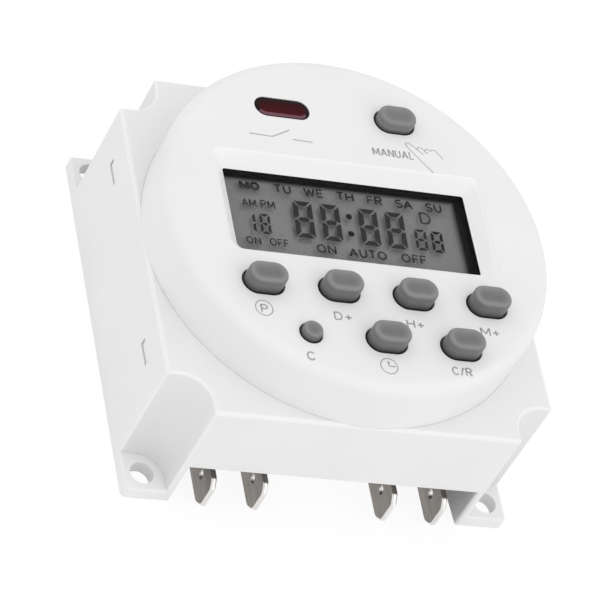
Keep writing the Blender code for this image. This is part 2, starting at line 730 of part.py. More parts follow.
def power_board():
    half_x = BAY_HALF - BOARD_MARGIN
    low = BAY_WALL_INNER + BOARD_MARGIN
    centre_y = (low + half_x) / 2
    loops = [rectangle((0.0, centre_y), half_x, (half_x - low) / 2)]
    loops += [circle(place, 2 * PILOT_RADIUS, 12) for place in STANDOFF_PLACES]
    slot_x = TAB_THICKNESS / 2 + CLEAR
    slot_y = LEG_WIDTH / 2 + CLEAR
    loops += [rectangle((x, LEG_Y), slot_x, slot_y) for x in TERMINAL_X]
    part("power_board", outline_mesh("power_board", loops, POWER_BOARD_LOW, POWER_BOARD_TOP), "board_green")


def soft_box(name, size, centre, finish):
    """A moulded block with rounded edges, standing on the power board."""
    block = part(name, centred_box(name, size, centre, ON_POWER_BOARD), finish)
    bevel = block.modifiers.new("rounded", "BEVEL")
    bevel.width = SOFT_EDGE
    bevel.segments = 2


def smoothing_capacitor():
    crown = SOFT_EDGE
    groove = CAN_RADIUS - SOFT_EDGE
    low = ON_POWER_BOARD
    top = low + BOARD_ROOM - CAN_HEADROOM
    profile = [
        (0.0, top),
        (CAN_RADIUS - crown, top),
        (CAN_RADIUS, top - crown),
        (CAN_RADIUS, low + 4 * crown),
        (groove, low + 3 * crown),
        (CAN_RADIUS, low + 2 * crown),
        (CAN_RADIUS, low),
        (0.0, low),
    ]
    turned_part("smoothing_capacitor", profile, "dark_part", location=(CAN_X, CAN_Y, 0.0))


def varistor():
    """A coated disc that stands on its rim."""
    crown = VARISTOR_THICKNESS / 4
    half = VARISTOR_THICKNESS / 2
    profile = [
        (0.0, half),
        (VARISTOR_RADIUS - crown, half),
        (VARISTOR_RADIUS, half - crown),
        (VARISTOR_RADIUS, crown - half),
        (VARISTOR_RADIUS - crown, -half),
        (0.0, -half),
    ]
    place = (VARISTOR_X, VARISTOR_Y, ON_POWER_BOARD + VARISTOR_RADIUS)
    turned_part("varistor", profile, "blue_part", location=place, rotation=FLAT_TO_XZ)


def ribbon_link():
    """A flat ribbon, bowed outwards, between the two boards."""
    low = ON_POWER_BOARD
    high = UNDER_DISPLAY_BOARD
    steps = 2 * ARC_STEPS
    path = [
        (RIBBON_Y + RIBBON_BOW * sin(pi * step / steps), low + (high - low) * step / steps)
        for step in range(steps + 1)
    ]
    half = RIBBON_THICKNESS / 2
    loop = [(y + half, z) for y, z in path] + [(y - half, z) for y, z in reversed(path)]
    mesh = outline_mesh("ribbon_link", [loop], -RIBBON_WIDTH / 2, RIBBON_WIDTH / 2)
    part("ribbon_link", mesh, "ribbon_grey", rotation=FLAT_TO_YZ)


def display_board():
    loops = [circle((0.0, 0.0), 2 * DISPLAY_BOARD_RADIUS, DISC_STEPS // 2)]
    loops += [circle(place, 2 * PILOT_RADIUS, 12) for place in BOSS_PLACES]
    mesh = outline_mesh("display_board", loops, DISPLAY_BOARD_LOW, DISPLAY_BOARD_TOP)
    part("display_board", mesh, "board_green")


def display_stack():
    """Window lens, glass panel, contact strips and the frame that holds them to the board."""
    centre = (0.0, WINDOW_Y)
    lens = rectangle(centre, APERTURE_X - CLEAR, APERTURE_Y - CLEAR)
    part("window_lens", outline_mesh("window_lens", [lens], LENS_LOW, UNDER_FACE), "clear_lens")
    panel = rectangle(centre, LCD_X, LCD_Y)
    part("lcd_panel", outline_mesh("lcd_panel", [panel], LCD_LOW, LCD_TOP), "lcd_glass")
    zebra_y = LCD_Y - ZEBRA_EDGE - ZEBRA_WIDTH / 2
    for index, side in enumerate((-1, 1)):
        strip = rectangle((0.0, WINDOW_Y + side * zebra_y), APERTURE_X, ZEBRA_WIDTH / 2)
        name = f"contact_strip_{index + 1}"
        part(name, outline_mesh(name, [strip], ON_DISPLAY_BOARD, LCD_LOW - CLEAR), "dark_part")
    outer = rectangle(centre, LCD_X + CLEAR + FRAME_WALL, LCD_Y + CLEAR + FRAME_WALL)
    aperture = rectangle(centre, APERTURE_X, APERTURE_Y)
    frame_mesh = outline_mesh("lcd_frame", [outer, aperture], ON_DISPLAY_BOARD, UNDER_FACE)
    frame = part("lcd_frame", frame_mesh, "black_frame")
    seat = rectangle(centre, LCD_X + CLEAR, LCD_Y + CLEAR)
    room = outline_mesh("lcd_seat", [seat], ON_DISPLAY_BOARD - PAST, LCD_TOP + CLEAR)
    cut(frame, tool("lcd_seat", room))


def key_sections(length, width, proud, rounding, plunger, travel):
    """The stack of outlines of a key: plunger, retaining flange, cap and dished top."""
    top = FACE_HEIGHT + proud
    rise = rounding * (1 - cos(pi / 4))
    lip = 2 * (CLEAR + KEY_LIP)
    shrink = 2 * rounding
    hollow = width - shrink
    levels = [
        (plunger[0], plunger[1], ON_DISPLAY_BOARD + travel),
        (plunger[0], plunger[1], FLANGE_LOW),
        (length + lip, width + lip, FLANGE_LOW),
        (length + lip, width + lip, FLANGE_TOP),
        (length, width, FLANGE_TOP),
        (length, width, top - rounding),
        (length - 2 * rise, width - 2 * rise, top - rise),
        (length - shrink, width - shrink, top),
        (length - shrink - 0.4 * hollow, width - shrink - 0.4 * hollow, top - 0.7 * KEY_DISH),
        (length - shrink - 0.8 * hollow, width - shrink - 0.8 * hollow, top - KEY_DISH),
    ]
    return [
        [(x, y, height) for x, y in stadium((0.0, 0.0), long_side, short_side)]
        for long_side, short_side, height in levels
    ]


def keys():
    plunger = (PLUNGER_LENGTH, PLUNGER_WIDTH)
    for name, (x, y) in KEY_PLACES.items():
        proud = MANUAL_PROUD if name == "key_manual" else KEY_PROUD
        sections = key_sections(KEY_LENGTH, KEY_WIDTH, proud, KEY_ROUND, plunger, KEY_TRAVEL)
        part(name, loft_mesh(name, sections), "grey_key", (x, y, 0.0))
    round_plunger = (RESET_PLUNGER, RESET_PLUNGER)
    button = (RESET_DIAMETER, RESET_DIAMETER, RESET_PROUD, RESET_ROUND)
    sections = key_sections(*button, round_plunger, RESET_TRAVEL)
    part("key_reset", loft_mesh("key_reset", sections[:-2]), "grey_key", (*RESET_PLACE, 0.0))


def mat_holes(names):
    return [
        stadium(KEY_PLACES[name], PLUNGER_LENGTH + 2 * CLEAR, PLUNGER_WIDTH + 2 * CLEAR)
        for name in names
    ]


def keypad_mats():
    """Rubber sheets on the display board, with a hole under each key."""
    reach_x = KEY_LENGTH / 2 + MAT_BORDER
    reach_y = KEY_WIDTH / 2 + MAT_BORDER
    row_left = ROW_X[0] - reach_x
    row_right = ROW_X[3] + reach_x
    low_left = RESET_PLACE[0] - RESET_DIAMETER / 2 - MAT_BORDER
    low_right = KEYPAD_X + KEY_PITCH + PLUNGER_LENGTH / 2 + MAT_BORDER
    step_y = KEY_ROW_Y - reach_y
    bottom = LOW_ROW_Y - PLUNGER_WIDTH / 2 - MAT_BORDER
    sheet = [
        (low_left, bottom),
        (low_right, bottom),
        (low_right, step_y),
        (row_right, step_y),
        (row_right, KEY_ROW_Y + reach_y),
        (row_left, KEY_ROW_Y + reach_y),
        (row_left, step_y),
        (low_left, step_y),
    ]
    holes = mat_holes([name for name in KEY_PLACES if name != "key_manual"])
    holes.append(circle(RESET_PLACE, RESET_PLUNGER + 2 * CLEAR))
    top = ON_DISPLAY_BOARD + MAT
    mesh = outline_mesh("keypad_mat", [sheet] + holes, ON_DISPLAY_BOARD, top)
    part("keypad_mat", mesh, "rubber_mat")
    pad = rectangle((MANUAL_X, MANUAL_Y), reach_x, reach_y)
    mesh = outline_mesh("manual_mat", [pad] + mat_holes(["key_manual"]), ON_DISPLAY_BOARD, top)
    part("manual_mat", mesh, "rubber_mat")


def indicator():
    """A red lens flush with the face, with a retaining flange, and the lamp behind it."""
    top = FACE_HEIGHT
    lip = 2 * (CLEAR + KEY_LIP)
    chamfer = 2 * INDICATOR_CHAMFER
    levels = [
        (INDICATOR_LENGTH + lip, INDICATOR_WIDTH + lip, FLANGE_LOW),
        (INDICATOR_LENGTH + lip, INDICATOR_WIDTH + lip, FLANGE_TOP),
        (INDICATOR_LENGTH, INDICATOR_WIDTH, FLANGE_TOP),
        (INDICATOR_LENGTH, INDICATOR_WIDTH, top - INDICATOR_CHAMFER),
        (INDICATOR_LENGTH - chamfer, INDICATOR_WIDTH - chamfer, top),
    ]
    sections = [
        [(x, y, height) for x, y in stadium((0.0, 0.0), length, width)]
        for length, width, height in levels
    ]
    place = (INDICATOR_X, INDICATOR_Y, 0.0)
    part("indicator_lens", loft_mesh("indicator_lens", sections), "red_lens", place)
    crown = FLANGE_LOW - CLEAR
    dome = arc((0.0, crown - LED_RADIUS), LED_RADIUS, 90.0, 0.0, 4)
    rim = LED_RADIUS + LED_RIM
    profile = dome + [
        (LED_RADIUS, ON_DISPLAY_BOARD + 2 * LED_RIM),
        (rim, ON_DISPLAY_BOARD + 2 * LED_RIM),
        (rim, ON_DISPLAY_BOARD),
        (0.0, ON_DISPLAY_BOARD),
    ]
    profile[0] = (0.0, crown)
    turned_part("status_lamp", profile, "red_lens", location=place)


def backup_cell():
    """A rechargeable button cell under the display board, between two solder tabs."""
    plus_low = UNDER_DISPLAY_BOARD - CELL_TAB
    top = plus_low - CLEAR
    low = top - CELL_HEIGHT
    step = SOFT_EDGE
    profile = [
        (0.0, top),
        (CELL_RADIUS - step, top),
        (CELL_RADIUS, top - step),
        (CELL_RADIUS, low + 2 * step),
        (CELL_RADIUS - step, low + step),
        (CELL_RADIUS - step, low),
        (0.0, low),
    ]
    turned_part("backup_cell", profile, "cell_steel", location=(CELL_X, CELL_Y, 0.0))
    width = CELL_TAB_WIDTH
    size = (2 * CELL_RADIUS, width, CELL_TAB)
    part("cell_tab_plus", centred_box("cell_tab_plus", size, (CELL_X, CELL_Y), plus_low), "cell_steel")
    under = low - CLEAR
    inner = CELL_X - CELL_RADIUS / 2
    outer = CELL_X + CELL_RADIUS + CLEAR + CELL_TAB
    loop = [
        (inner, under - CELL_TAB),
        (outer, under - CELL_TAB),
        (outer, UNDER_DISPLAY_BOARD),
        (outer - CELL_TAB, UNDER_DISPLAY_BOARD),
        (outer - CELL_TAB, under),
        (inner, under),
    ]
    mesh = outline_mesh("cell_tab_minus", [loop], -width / 2, width / 2)
    part("cell_tab_minus", mesh, "cell_steel", (0.0, CELL_Y, 0.0), FLAT_TO_XZ)


def controller_chip():
    """A drop of black potting over the controller, under the display board."""
    bulge = [(CHIP_RADIUS * cos(a), -CHIP_HEIGHT * sin(a)) for a in [pi / 8 * s for s in range(4)]]
    profile = [(0.0, 0.0)] + bulge + [(0.0, -CHIP_HEIGHT)]
    turned_part("controller_chip", profile, "dark_part", location=(CHIP_X, CHIP_Y, UNDER_DISPLAY_BOARD))


def crystal():
    """A can-shaped crystal that lies along X under the display board."""
    place = (CRYSTAL_X, CRYSTAL_Y, UNDER_DISPLAY_BOARD - CRYSTAL_RADIUS)
    half = CRYSTAL_LENGTH / 2
    turned_part("crystal", rod_profile(CRYSTAL_RADIUS, -half, half), "cell_steel", 12, place, FLAT_TO_YZ)


def main():
    global PARTS, CUTTERS
    clear_scene()
    PARTS = new_collection("programmable_timer")
    CUTTERS = new_collection("cutters")
    front_housing()
    back_cover()
    for index, x in enumerate(TERMINAL_X):
        terminal(f"terminal_{index + 1}", x)
    power_board()
    for index, place in enumerate(STANDOFF_PLACES):
        screw(f"power_screw_{index + 1}", place, ON_POWER_BOARD, COVER_BITE, upwards=False)
    relay_size = (RELAY_LENGTH, RELAY_WIDTH, BOARD_ROOM - RELAY_HEADROOM)
    soft_box("relay", relay_size, (0.0, RELAY_Y), "dark_part")
    film_size = (FILM_LENGTH, FILM_WIDTH, BOARD_ROOM - FILM_HEADROOM)
    soft_box("film_capacitor", film_size, (0.0, FILM_Y), "yellow_film")
    soft_box("rectifier", RECTIFIER_SIZE, (RECTIFIER_X, FILM_Y), "dark_part")
    smoothing_capacitor()
    varistor()
    ribbon_link()
    display_board()
    for index, place in enumerate(BOSS_PLACES):
        screw(f"display_screw_{index + 1}", place, UNDER_DISPLAY_BOARD, DISPLAY_BITE, upwards=True)
    display_stack()
    keypad_mats()
    keys()
    indicator()
    backup_cell()
    controller_chip()
    crystal()


main()
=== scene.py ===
"""Looks of the programmable timer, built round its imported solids.

The object lies on its back: z = 0 is the back plane, +Z points out of the control face and +Y to the
top of the face. All lengths are in metres.
"""
from math import asin, cos, degrees, radians, sin, sqrt

import bmesh
import bpy
from mathutils import Matrix, Vector

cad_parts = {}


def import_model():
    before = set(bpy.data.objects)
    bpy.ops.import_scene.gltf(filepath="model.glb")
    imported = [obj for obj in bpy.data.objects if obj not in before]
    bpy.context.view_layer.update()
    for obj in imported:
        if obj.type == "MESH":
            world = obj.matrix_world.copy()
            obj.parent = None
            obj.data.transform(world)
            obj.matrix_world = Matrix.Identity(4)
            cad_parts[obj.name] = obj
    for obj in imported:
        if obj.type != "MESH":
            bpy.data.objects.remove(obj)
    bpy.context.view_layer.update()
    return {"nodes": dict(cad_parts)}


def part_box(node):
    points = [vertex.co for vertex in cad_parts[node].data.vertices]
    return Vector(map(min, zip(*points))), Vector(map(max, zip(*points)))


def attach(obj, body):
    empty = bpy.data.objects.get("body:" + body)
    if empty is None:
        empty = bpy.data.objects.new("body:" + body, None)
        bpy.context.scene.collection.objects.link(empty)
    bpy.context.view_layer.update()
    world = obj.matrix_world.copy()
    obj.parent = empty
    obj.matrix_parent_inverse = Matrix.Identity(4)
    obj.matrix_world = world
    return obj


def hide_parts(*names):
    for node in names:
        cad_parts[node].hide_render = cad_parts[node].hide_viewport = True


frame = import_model()

MM = 0.001

# Case sizes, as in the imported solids
CLEAR = 0.3 * MM
FLANGE_HEIGHT = 21.7 * MM
WALL = 1.5 * MM
FACE_PLATE = 1.95 * MM
DISC_INSET = 0.05 * MM
SHOULDER = 1.75 * MM
POCKET = 6.35 * MM
POCKET_ROUND = 5.8 * MM
EAR_THICKNESS = 2.25 * MM
EAR_HOLE = 3.6 * MM
EAR_HOLE_INSET = 3.0 * MM
LATCH_FROM_POCKET = 7.55 * MM
LATCH_LENGTH = 3.9 * MM
LATCH_LOW = 15.2 * MM
LATCH_HEIGHT = 1.5 * MM
BAY_HEIGHT = 8.45 * MM
BAY_DEPTH = 7.25 * MM
WINDOW_WIDTH = 38.1 * MM
WINDOW_HEIGHT = 13.9 * MM
WINDOW_Y = 1.45 * MM
BEZEL_SIDE = 1.85 * MM
BEZEL_TOP = 2.25 * MM
BOSS_RADIUS = 1.8 * MM
BOSS_INSET = 2.4 * MM
BOSS_ANGLES = (90.0, 226.0, 314.0)
PILOT_RADIUS = 1.1 * MM
PILOT_DEPTH = 4.3 * MM

# Window edges where the photo shows them, a little beside those of the solids
WINDOW_SHIFT = -0.1 * MM
WINDOW_DROP = 0.58 * MM
BEZEL_BOTTOM = 1.5 * MM

# Corner of a screw pocket as the photo shows it, tighter than in the solids
SCOOP_ROUND = 4.4 * MM

# Roundings and fine lines of the moulded case that the solids leave out
RIM_ROUND = 0.7 * MM
BACK_ROUND = 0.2 * MM
POCKET_RIM = 0.45 * MM
POCKET_GROOVE = 0.1 * MM
GROOVE_HEIGHT = 0.18 * MM
EAR_RIM = 0.4 * MM
HOLE_RIM = 0.08 * MM
WINDOW_BACK_CORNER = 0.35 * MM
WINDOW_ROUND_CORNER = 1.25 * MM
WINDOW_WIDENING = 0.7 * MM
WINDOW_RIM = 0.35 * MM
BAY_RIM = 0.3 * MM
BAY_SIDE_RIM = 0.6 * MM
BAY_SPLAY = 0.4 * MM
BAY_SIDE_TURN = 30.0
BAY_SHARED_STEP = 3
RIM_TURN = 80.0
LEAST_CORNER = 0.07 * MM
PLATE_INSET = 0.02 * MM
SEAM_WIDTH = 0.05 * MM
SEAM_DEPTH = 0.03 * MM

# Keys and indicator
KEY_LENGTH = 5.9 * MM
KEY_WIDTH = 3.8 * MM
KEY_ROUND = 0.5 * MM
KEY_DISH = 0.36 * MM
KEY_LIP = 0.7 * MM
KEY_FLANGE = 1.0 * MM
PLUNGER_LENGTH = 3.6 * MM
PLUNGER_WIDTH = 2.6 * MM
RESET_DIAMETER = 2.95 * MM
RESET_PLUNGER = 1.8 * MM
RESET_ROUND = 0.3 * MM
RESET_DISH = 0.18 * MM
DISH_CORE = 0.12 * MM
INDICATOR_LENGTH = 7.9 * MM
INDICATOR_WIDTH = 2.8 * MM
INDICATOR_BEVEL = 0.42 * MM
INDICATOR_SKIRT = 0.1 * MM
INDICATOR_MARGIN = 0.39 * MM
INDICATOR_LEDGE = 0.15 * MM
INDICATOR_GAP = 0.04 * MM

# Blade terminals
TAB_THICKNESS = 0.8 * MM
TAB_TAPER = 1.2 * MM
TAB_CLIP = 1.2 * MM
TAB_CORNER = 0.45 * MM
TAB_DROP = 0.2 * MM
TAB_LOW_TAPER = 1.5 * MM
TAB_LOW_CLIP = 1.4 * MM
TAB_LOW_CORNER = 0.6 * MM
TAB_COIN = 0.22 * MM
TAB_COIN_LENGTH = 0.3 * MM
TAB_EDGE = 0.06 * MM
TAB_HOLE = 1.55 * MM
TAB_HOLE_FROM_TIP = 4.2 * MM
NECK_HEIGHT = 1.6 * MM
LEG_WIDTH = 1.4 * MM
LEG_BELOW_BOARD = 0.8 * MM

# Printed legends on the face
INK = 0.02 * MM
LEGEND_HEIGHT = 1.5 * MM
LEGEND_LINE = 0.24 * MM
SYMBOL_LINE = 0.16 * MM
HAND_LINE = 0.14 * MM
SYMBOL_DIAMETER = 2.75 * MM
UPRIGHT_HAND = 0.803 * MM
LEVEL_HAND = 0.971 * MM
CLOCK_LEFT = 0.5 * MM
CLOCK_DROP = 4.44 * MM
RING_LEFT = 0.71 * MM
RING_DROP = 4.62 * MM
LETTER_GAP = 0.4

# Display
DISPLAY_INK = 0.05 * MM
DISPLAY_LIFT = 0.2 * MM
DISPLAY_LINE = 0.3 * MM
SMALL_LINE = 0.22 * MM
BOLD_LINE = 0.4 * MM
DOT_RADIUS = 0.48 * MM
REFLECTOR_DEPTH = 0.4 * MM
REFLECTOR_RIM = 0.15 * MM
GLASS_CORNER = 0.3 * MM
MASK_INSIDE = 0.63 * MM
MASK_ABOVE = 0.35 * MM
MASK_GAP = 0.02 * MM
MASK_FADE = 0.8 * MM
# Painted light that makes the display's glass and mask paler just below the top border, where the window's
# edge shades them
PAINTED_LIGHT_REACH = 1.9 * MM
PAINTED_LIGHT_GAIN = 1.6

# Facets and joins
DISC_STEPS = 192
SHOULDER_STEPS = 12
ARC_STEPS = 12
ROUND_STEPS = 6
CAP_STEPS = 12
DISH_STEPS = 8
SMALL_STEPS = 24
PAST = 1.0 * MM
WELD = 0.0002 * MM
NODE_WELD = 0.001 * MM
FACET_ANGLE = 1.0
CREASE_ANGLE = 40.0

# Parts of a face's normal that tell walls, rounded edges, slopes and flats apart
WALL_LEAN = 0.2
EDGE_TURN = 0.15
EDGE_FLAT = 0.97
BEVEL_LEAN = 0.3
SQUARE_ON = 0.95

# Places worked out from the frame and the sizes above
housing_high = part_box("front_housing")[1]
HALF = housing_high.x
FACE_HEIGHT = housing_high.z
FACE_INNER = FACE_HEIGHT - FACE_PLATE
FLANGE_INNER = FLANGE_HEIGHT - WALL
DISC_RADIUS = HALF - DISC_INSET
CAVITY_RADIUS = DISC_RADIUS - WALL
POCKET_EDGE = HALF - POCKET
POCKET_CENTRE = POCKET_EDGE + POCKET_ROUND
SCOOP_CENTRE = POCKET_EDGE + SCOOP_ROUND
BAY_HALF = POCKET_EDGE - WALL
BAY_WALL_OUTER = BAY_DEPTH - HALF
BAY_WALL_INNER = BAY_WALL_OUTER + WALL
LATCH_Y = POCKET_EDGE - LATCH_FROM_POCKET
WINDOW_TOP = WINDOW_Y + WINDOW_HEIGHT / 2
WINDOW_LOW = WINDOW_Y - WINDOW_HEIGHT / 2 - WINDOW_DROP
BOSS_RING = CAVITY_RADIUS - BOSS_INSET
BOSS_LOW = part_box("display_board")[1].z + CLEAR
INDICATOR_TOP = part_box("indicator_lens")[1].z
LCD_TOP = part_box("lcd_panel")[1].z
REFLECTOR_TOP = LCD_TOP - REFLECTOR_DEPTH
CORNERS = [(side_x, side_y) for side_x in (-1, 1) for side_y in (-1, 1)]
OVAL_KEYS = ("program", "day", "hour", "minute", "clock", "cancel", "manual")


def centre_of(node):
    """Middle of a node, seen from the front."""
    low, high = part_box(node)
    return ((low.x + high.x) / 2, (low.y + high.y) / 2)


# Outlines

def arc(centre, radius, start, end, steps=ARC_STEPS):
    """Points on an arc from one angle to another, in degrees."""
    turns = [radians(start + (end - start) * step / steps) for step in range(steps + 1)]
    return [(centre[0] + radius * cos(a), centre[1] + radius * sin(a)) for a in turns]


def circle(centre, radius, steps=4 * ARC_STEPS):
    """Points round a circle."""
    return arc(centre, radius, 0.0, 360.0, steps)[:-1]


def stadium(centre, length, width):
    """An outline with straight sides and round ends, or a circle if it is as wide as long."""
    straight = max(length - width, 0.0) / 2
    right = arc((centre[0] + straight, centre[1]), width / 2, -90.0, 90.0, 2 * ARC_STEPS)
    left = arc((centre[0] - straight, centre[1]), width / 2, 90.0, 270.0, 2 * ARC_STEPS)
    return right + left if straight else right[:-1] + left[:-1]


def rounded_rectangle(low, high, radius, low_left=None):
    """A rectangle between two corners, with round corners; the one at the low left can differ."""
    other = radius if low_left is None else low_left
    loop = []
    corners = (
        (high[0] - radius, high[1] - radius, radius),
        (low[0] + radius, high[1] - radius, radius),
        (low[0] + other, low[1] + other, other),
        (high[0] - radius, low[1] + radius, radius),
    )
    for index, (x, y, size) in enumerate(corners):
        loop += arc((x, y), size, 90.0 * index, 90.0 * index + 90.0, ROUND_STEPS)
    return loop


def mirrored(points, side_x, side_y):
    """Points of the first quadrant moved to another, kept running anticlockwise."""
    flipped = [(side_x * x, side_y * y) for x, y in points]
    return flipped if side_x * side_y > 0 else flipped[::-1]


def at(loop, height):
    """A loop drawn in X and Y, at a height."""
    return [(x, y, height) for x, y in loop]


def upright(loop, x):
    """A loop drawn in Y and Z, at a place along X."""
    return [(x, y, z) for y, z in loop]


def flare(radius, top, most=RIM_TURN):
    """Steps of a rim rounded outward: how far it has grown at each height."""
    turns = [radians(most * step / ROUND_STEPS) for step in range(ROUND_STEPS + 1)]
    return [(radius * (1 - cos(a)), top - radius + radius * sin(a)) for a in turns]


def eased_hole(low, radius, top):
    """Levels of a cutter for a hole with a rounded rim, from below it to above it."""
    levels = [(0.0, low)] + flare(radius, top)
    return levels + [(levels[-1][0], top + PAST)]


# Meshes

def mesh_of(name, bm):
    """The mesh of an edited shape, which is then let go."""
    mesh = bpy.data.meshes.new(name)
    bm.to_mesh(mesh)
    bm.free()
    return mesh


def ring_faces(bm, pairs):
    """Faces between pairs of rings of vertices."""
    faces = []
    for lower, upper in pairs:
        for index, vert in enumerate(lower):
            other = (index + 1) % len(lower)
            faces.append(bm.faces.new((vert, lower[other], upper[other], upper[index])))
    return faces


def add_loft(bm, sections):
    """A skin over a stack of loops with equal numbers of points, closed at both ends and facing out."""
    before = bm.calc_volume(signed=True)
    rings = [[bm.verts.new(point) for point in section] for section in sections]
    faces = ring_faces(bm, zip(rings, rings[1:]))
    faces.append(bm.faces.new(rings[0][::-1]))
    faces.append(bm.faces.new(rings[-1]))
    if bm.calc_volume(signed=True) < before:
        bmesh.ops.reverse_faces(bm, faces=faces)


def loft_mesh(name, stacks):
    """Several closed skins in one mesh."""
    bm = bmesh.new()
    for sections in stacks:
        add_loft(bm, sections)
    return mesh_of(name, bm)


def prism_mesh(name, loops, low, high):
    """Loops drawn in X and Y, each raised from low to high."""
    return loft_mesh(name, [[at(loop, low), at(loop, high)] for loop in loops])


def new_object(name, data):
    """An object of the scene."""
    piece = bpy.data.objects.new(name, data)
    bpy.context.scene.collection.objects.link(piece)
    return piece


def lofted(name, sections):
    """An object with a closed skin over sections."""
    return new_object(name, loft_mesh(name, [sections]))


def welded(mesh):
    """Join vertices that lie on one another."""
    bm = bmesh.new()
    bm.from_mesh(mesh)
    bmesh.ops.remove_doubles(bm, verts=bm.verts, dist=WELD)
    bm.to_mesh(mesh)
    bm.free()
    return mesh


def evaluated_mesh(item):
    """The mesh that an object has after its modifiers."""
    depsgraph = bpy.context.evaluated_depsgraph_get()
    return bpy.data.meshes.new_from_object(item.evaluated_get(depsgraph))


def carved(name, base, steps):
    """A mesh with others joined to it or cut out of it, in order."""
    piece = new_object(name, base)
    tools = []
    for operation, mesh in steps:
        shape = new_object(mesh.name, mesh)
        modifier = piece.modifiers.new(mesh.name, "BOOLEAN")
        modifier.operation = operation
        modifier.object = shape
        modifier.solver = "EXACT"
        tools.append(shape)
    result = welded(evaluated_mesh(piece))
    piece.modifiers.clear()
    piece.data = result
    for shape in tools:
        bpy.data.objects.remove(shape, do_unlink=True)
    return piece


def smooth(piece, angle=30.0):
    """Smooth shading that keeps corners sharper than the angle."""
    piece.data.shade_smooth()
    piece.data.set_sharp_from_angle(angle=radians(angle))
    modifier = piece.modifiers.new("even_normals", "WEIGHTED_NORMAL")
    modifier.keep_sharp = True
    return piece


def dress(piece, body, material):
    """Give a piece its material, and say which body it rides on and whose finish it takes."""
    piece.data.materials.clear()
    piece.data.materials.append(material)
    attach(piece, body)
    return piece


def share_out(piece, materials, choice):
    """Add materials to a piece, and give each face the one whose number the choice returns."""
    for material in materials:
        piece.data.materials.append(material)
    for face in piece.data.polygons:
        face.material_index = choice(face)


# Materials

# Noise scales, in waves per metre
FLOW_CLOUDS = 90.0
SPARK_GRAIN = 3500.0
POLISH_GRAIN = 2500.0
PART_CLOUDS = 300.0
SHEET_CLOUDS = 400.0
DRAWING_LINES = 5000.0
TIN_CLOUDS = 1500.0
RUBBER_CLOUDS = 350.0
RUBBER_GRAIN = 6000.0
GLOSS_CLOUDS = 900.0
LEGEND_CLOUDS = 1500.0
PANE_CLOUDS = 200.0
FLOW_MARKS = 500.0
BOARD_WEAVE = 1500.0

# Detail of the noises
FINE_DETAIL = 2.0
CLOUD_DETAIL = 3.0
SHEET_DETAIL = 4.0

# Range of the noise that the tones and the roughness are spread over
NOISE_LOW = 0.3
NOISE_HIGH = 0.7

# Relief of the surfaces, and how strongly the clear pane reflects
MOULD_RELIEF = 0.004 * MM
SHEET_RELIEF = 0.003 * MM
GLASS_RELIEF = 0.001 * MM
PANE_INDEX = 1.12


def shader_node(tree, kind, inputs, operation=None):
    """A new shader node, its inputs linked to sockets or set to values."""
    made = tree.nodes.new("ShaderNode" + kind)
    if operation:
        made.operation = operation
    for name, value in inputs.items():
        if isinstance(value, bpy.types.NodeSocket):
            tree.links.new(value, made.inputs[name])
        else:
            made.inputs[name].default_value = value
    return made


def shader_input(material, name):
    """An input of a material's shader."""
    return material.node_tree.nodes["Principled BSDF"].inputs[name]


def feed(material, name, source):
    """Link a source to an input of a material's shader."""
    material.node_tree.links.new(source, shader_input(material, name))


def plain(name, colour, roughness, gloss=0.5, metallic=0.0):
    """A new material with its constants set."""
    material = bpy.data.materials.new(name)
    material.use_nodes = True
    shader_input(material, "Base Color").default_value = (*colour, 1.0)
    shader_input(material, "Roughness").default_value = roughness
    shader_input(material, "Specular IOR Level").default_value = gloss
    shader_input(material, "Metallic").default_value = metallic
    return material


def object_place(tree):
    """The place of a point in the object's own coordinates."""
    return shader_node(tree, "TexCoord", {}).outputs["Object"]


def place_along(tree, axis):
    """How far along one axis of the object a point lies."""
    return shader_node(tree, "SeparateXYZ", {"Vector": object_place(tree)}).outputs[axis]


def spread(tree, source, start, end, low=0.0, high=1.0):
    """A value that goes from low to high while the source goes from start to end."""
    inputs = {"Value": source, "From Min": start, "From Max": end, "To Min": low, "To Max": high}
    return shader_node(tree, "MapRange", inputs).outputs["Result"]


def colour_ramp(tree, source, stops):
    """Colour that follows the source through stops, each a position and a colour."""
    ramp = shader_node(tree, "ValToRGB", {"Fac": source})
    elements = ramp.color_ramp.elements
    while len(elements) < len(stops):
        elements.new(1.0)
    for element, (position, colour) in zip(elements, stops):
        element.position = position
        element.color = (*colour, 1.0)
    return ramp.outputs["Color"]


def noise(material, scale, detail=FINE_DETAIL, stretch=(1.0, 1.0, 1.0)):
    """Noise in the object's own coordinates."""
    tree = material.node_tree
    inputs = {"Vector": object_place(tree), "Scale": stretch}
    place = shader_node(tree, "Mapping", inputs).outputs["Vector"]
    return shader_node(tree, "TexNoise", {"Vector": place, "Scale": scale, "Detail": detail}).outputs["Fac"]


def colour_between(material, source, tones):
    """Colour that wanders between two tones with the source."""
    stops = list(zip((NOISE_LOW, NOISE_HIGH), tones))
    feed(material, "Base Color", colour_ramp(material.node_tree, source, stops))


def roughness_between(material, source, first, second):
    """Roughness that wanders between two values with the source."""
    level = spread(material.node_tree, source, NOISE_LOW, NOISE_HIGH, first, second)
    feed(material, "Roughness", level)


def grain(material, source, height, strength=0.3):
    """Fine relief of the given height."""
    inputs = {"Height": source, "Strength": strength, "Distance": height}
    feed(material, "Normal", shader_node(material.node_tree, "Bump", inputs).outputs["Normal"])


def mottled(colour, share):
    """Two tones, a share darker and lighter than a colour."""
    return [c * (1 - share) for c in colour], [min(c * (1 + share), 1.0) for c in colour]


def moulded(name, colour, roughness, grain_scale=SPARK_GRAIN, relief=MOULD_RELIEF,
            share=0.012, cloud=FLOW_CLOUDS, gloss=0.5):
    """Moulded plastic: faint flow clouds and a fine spark-eroded grain."""
    material = plain(name, colour, roughness, gloss)
    colour_between(material, noise(material, cloud, CLOUD_DETAIL), mottled(colour, share))
    fine = noise(material, grain_scale)
    roughness_between(material, fine, roughness - 0.04, roughness + 0.05)
    grain(material, fine, relief)
    return material


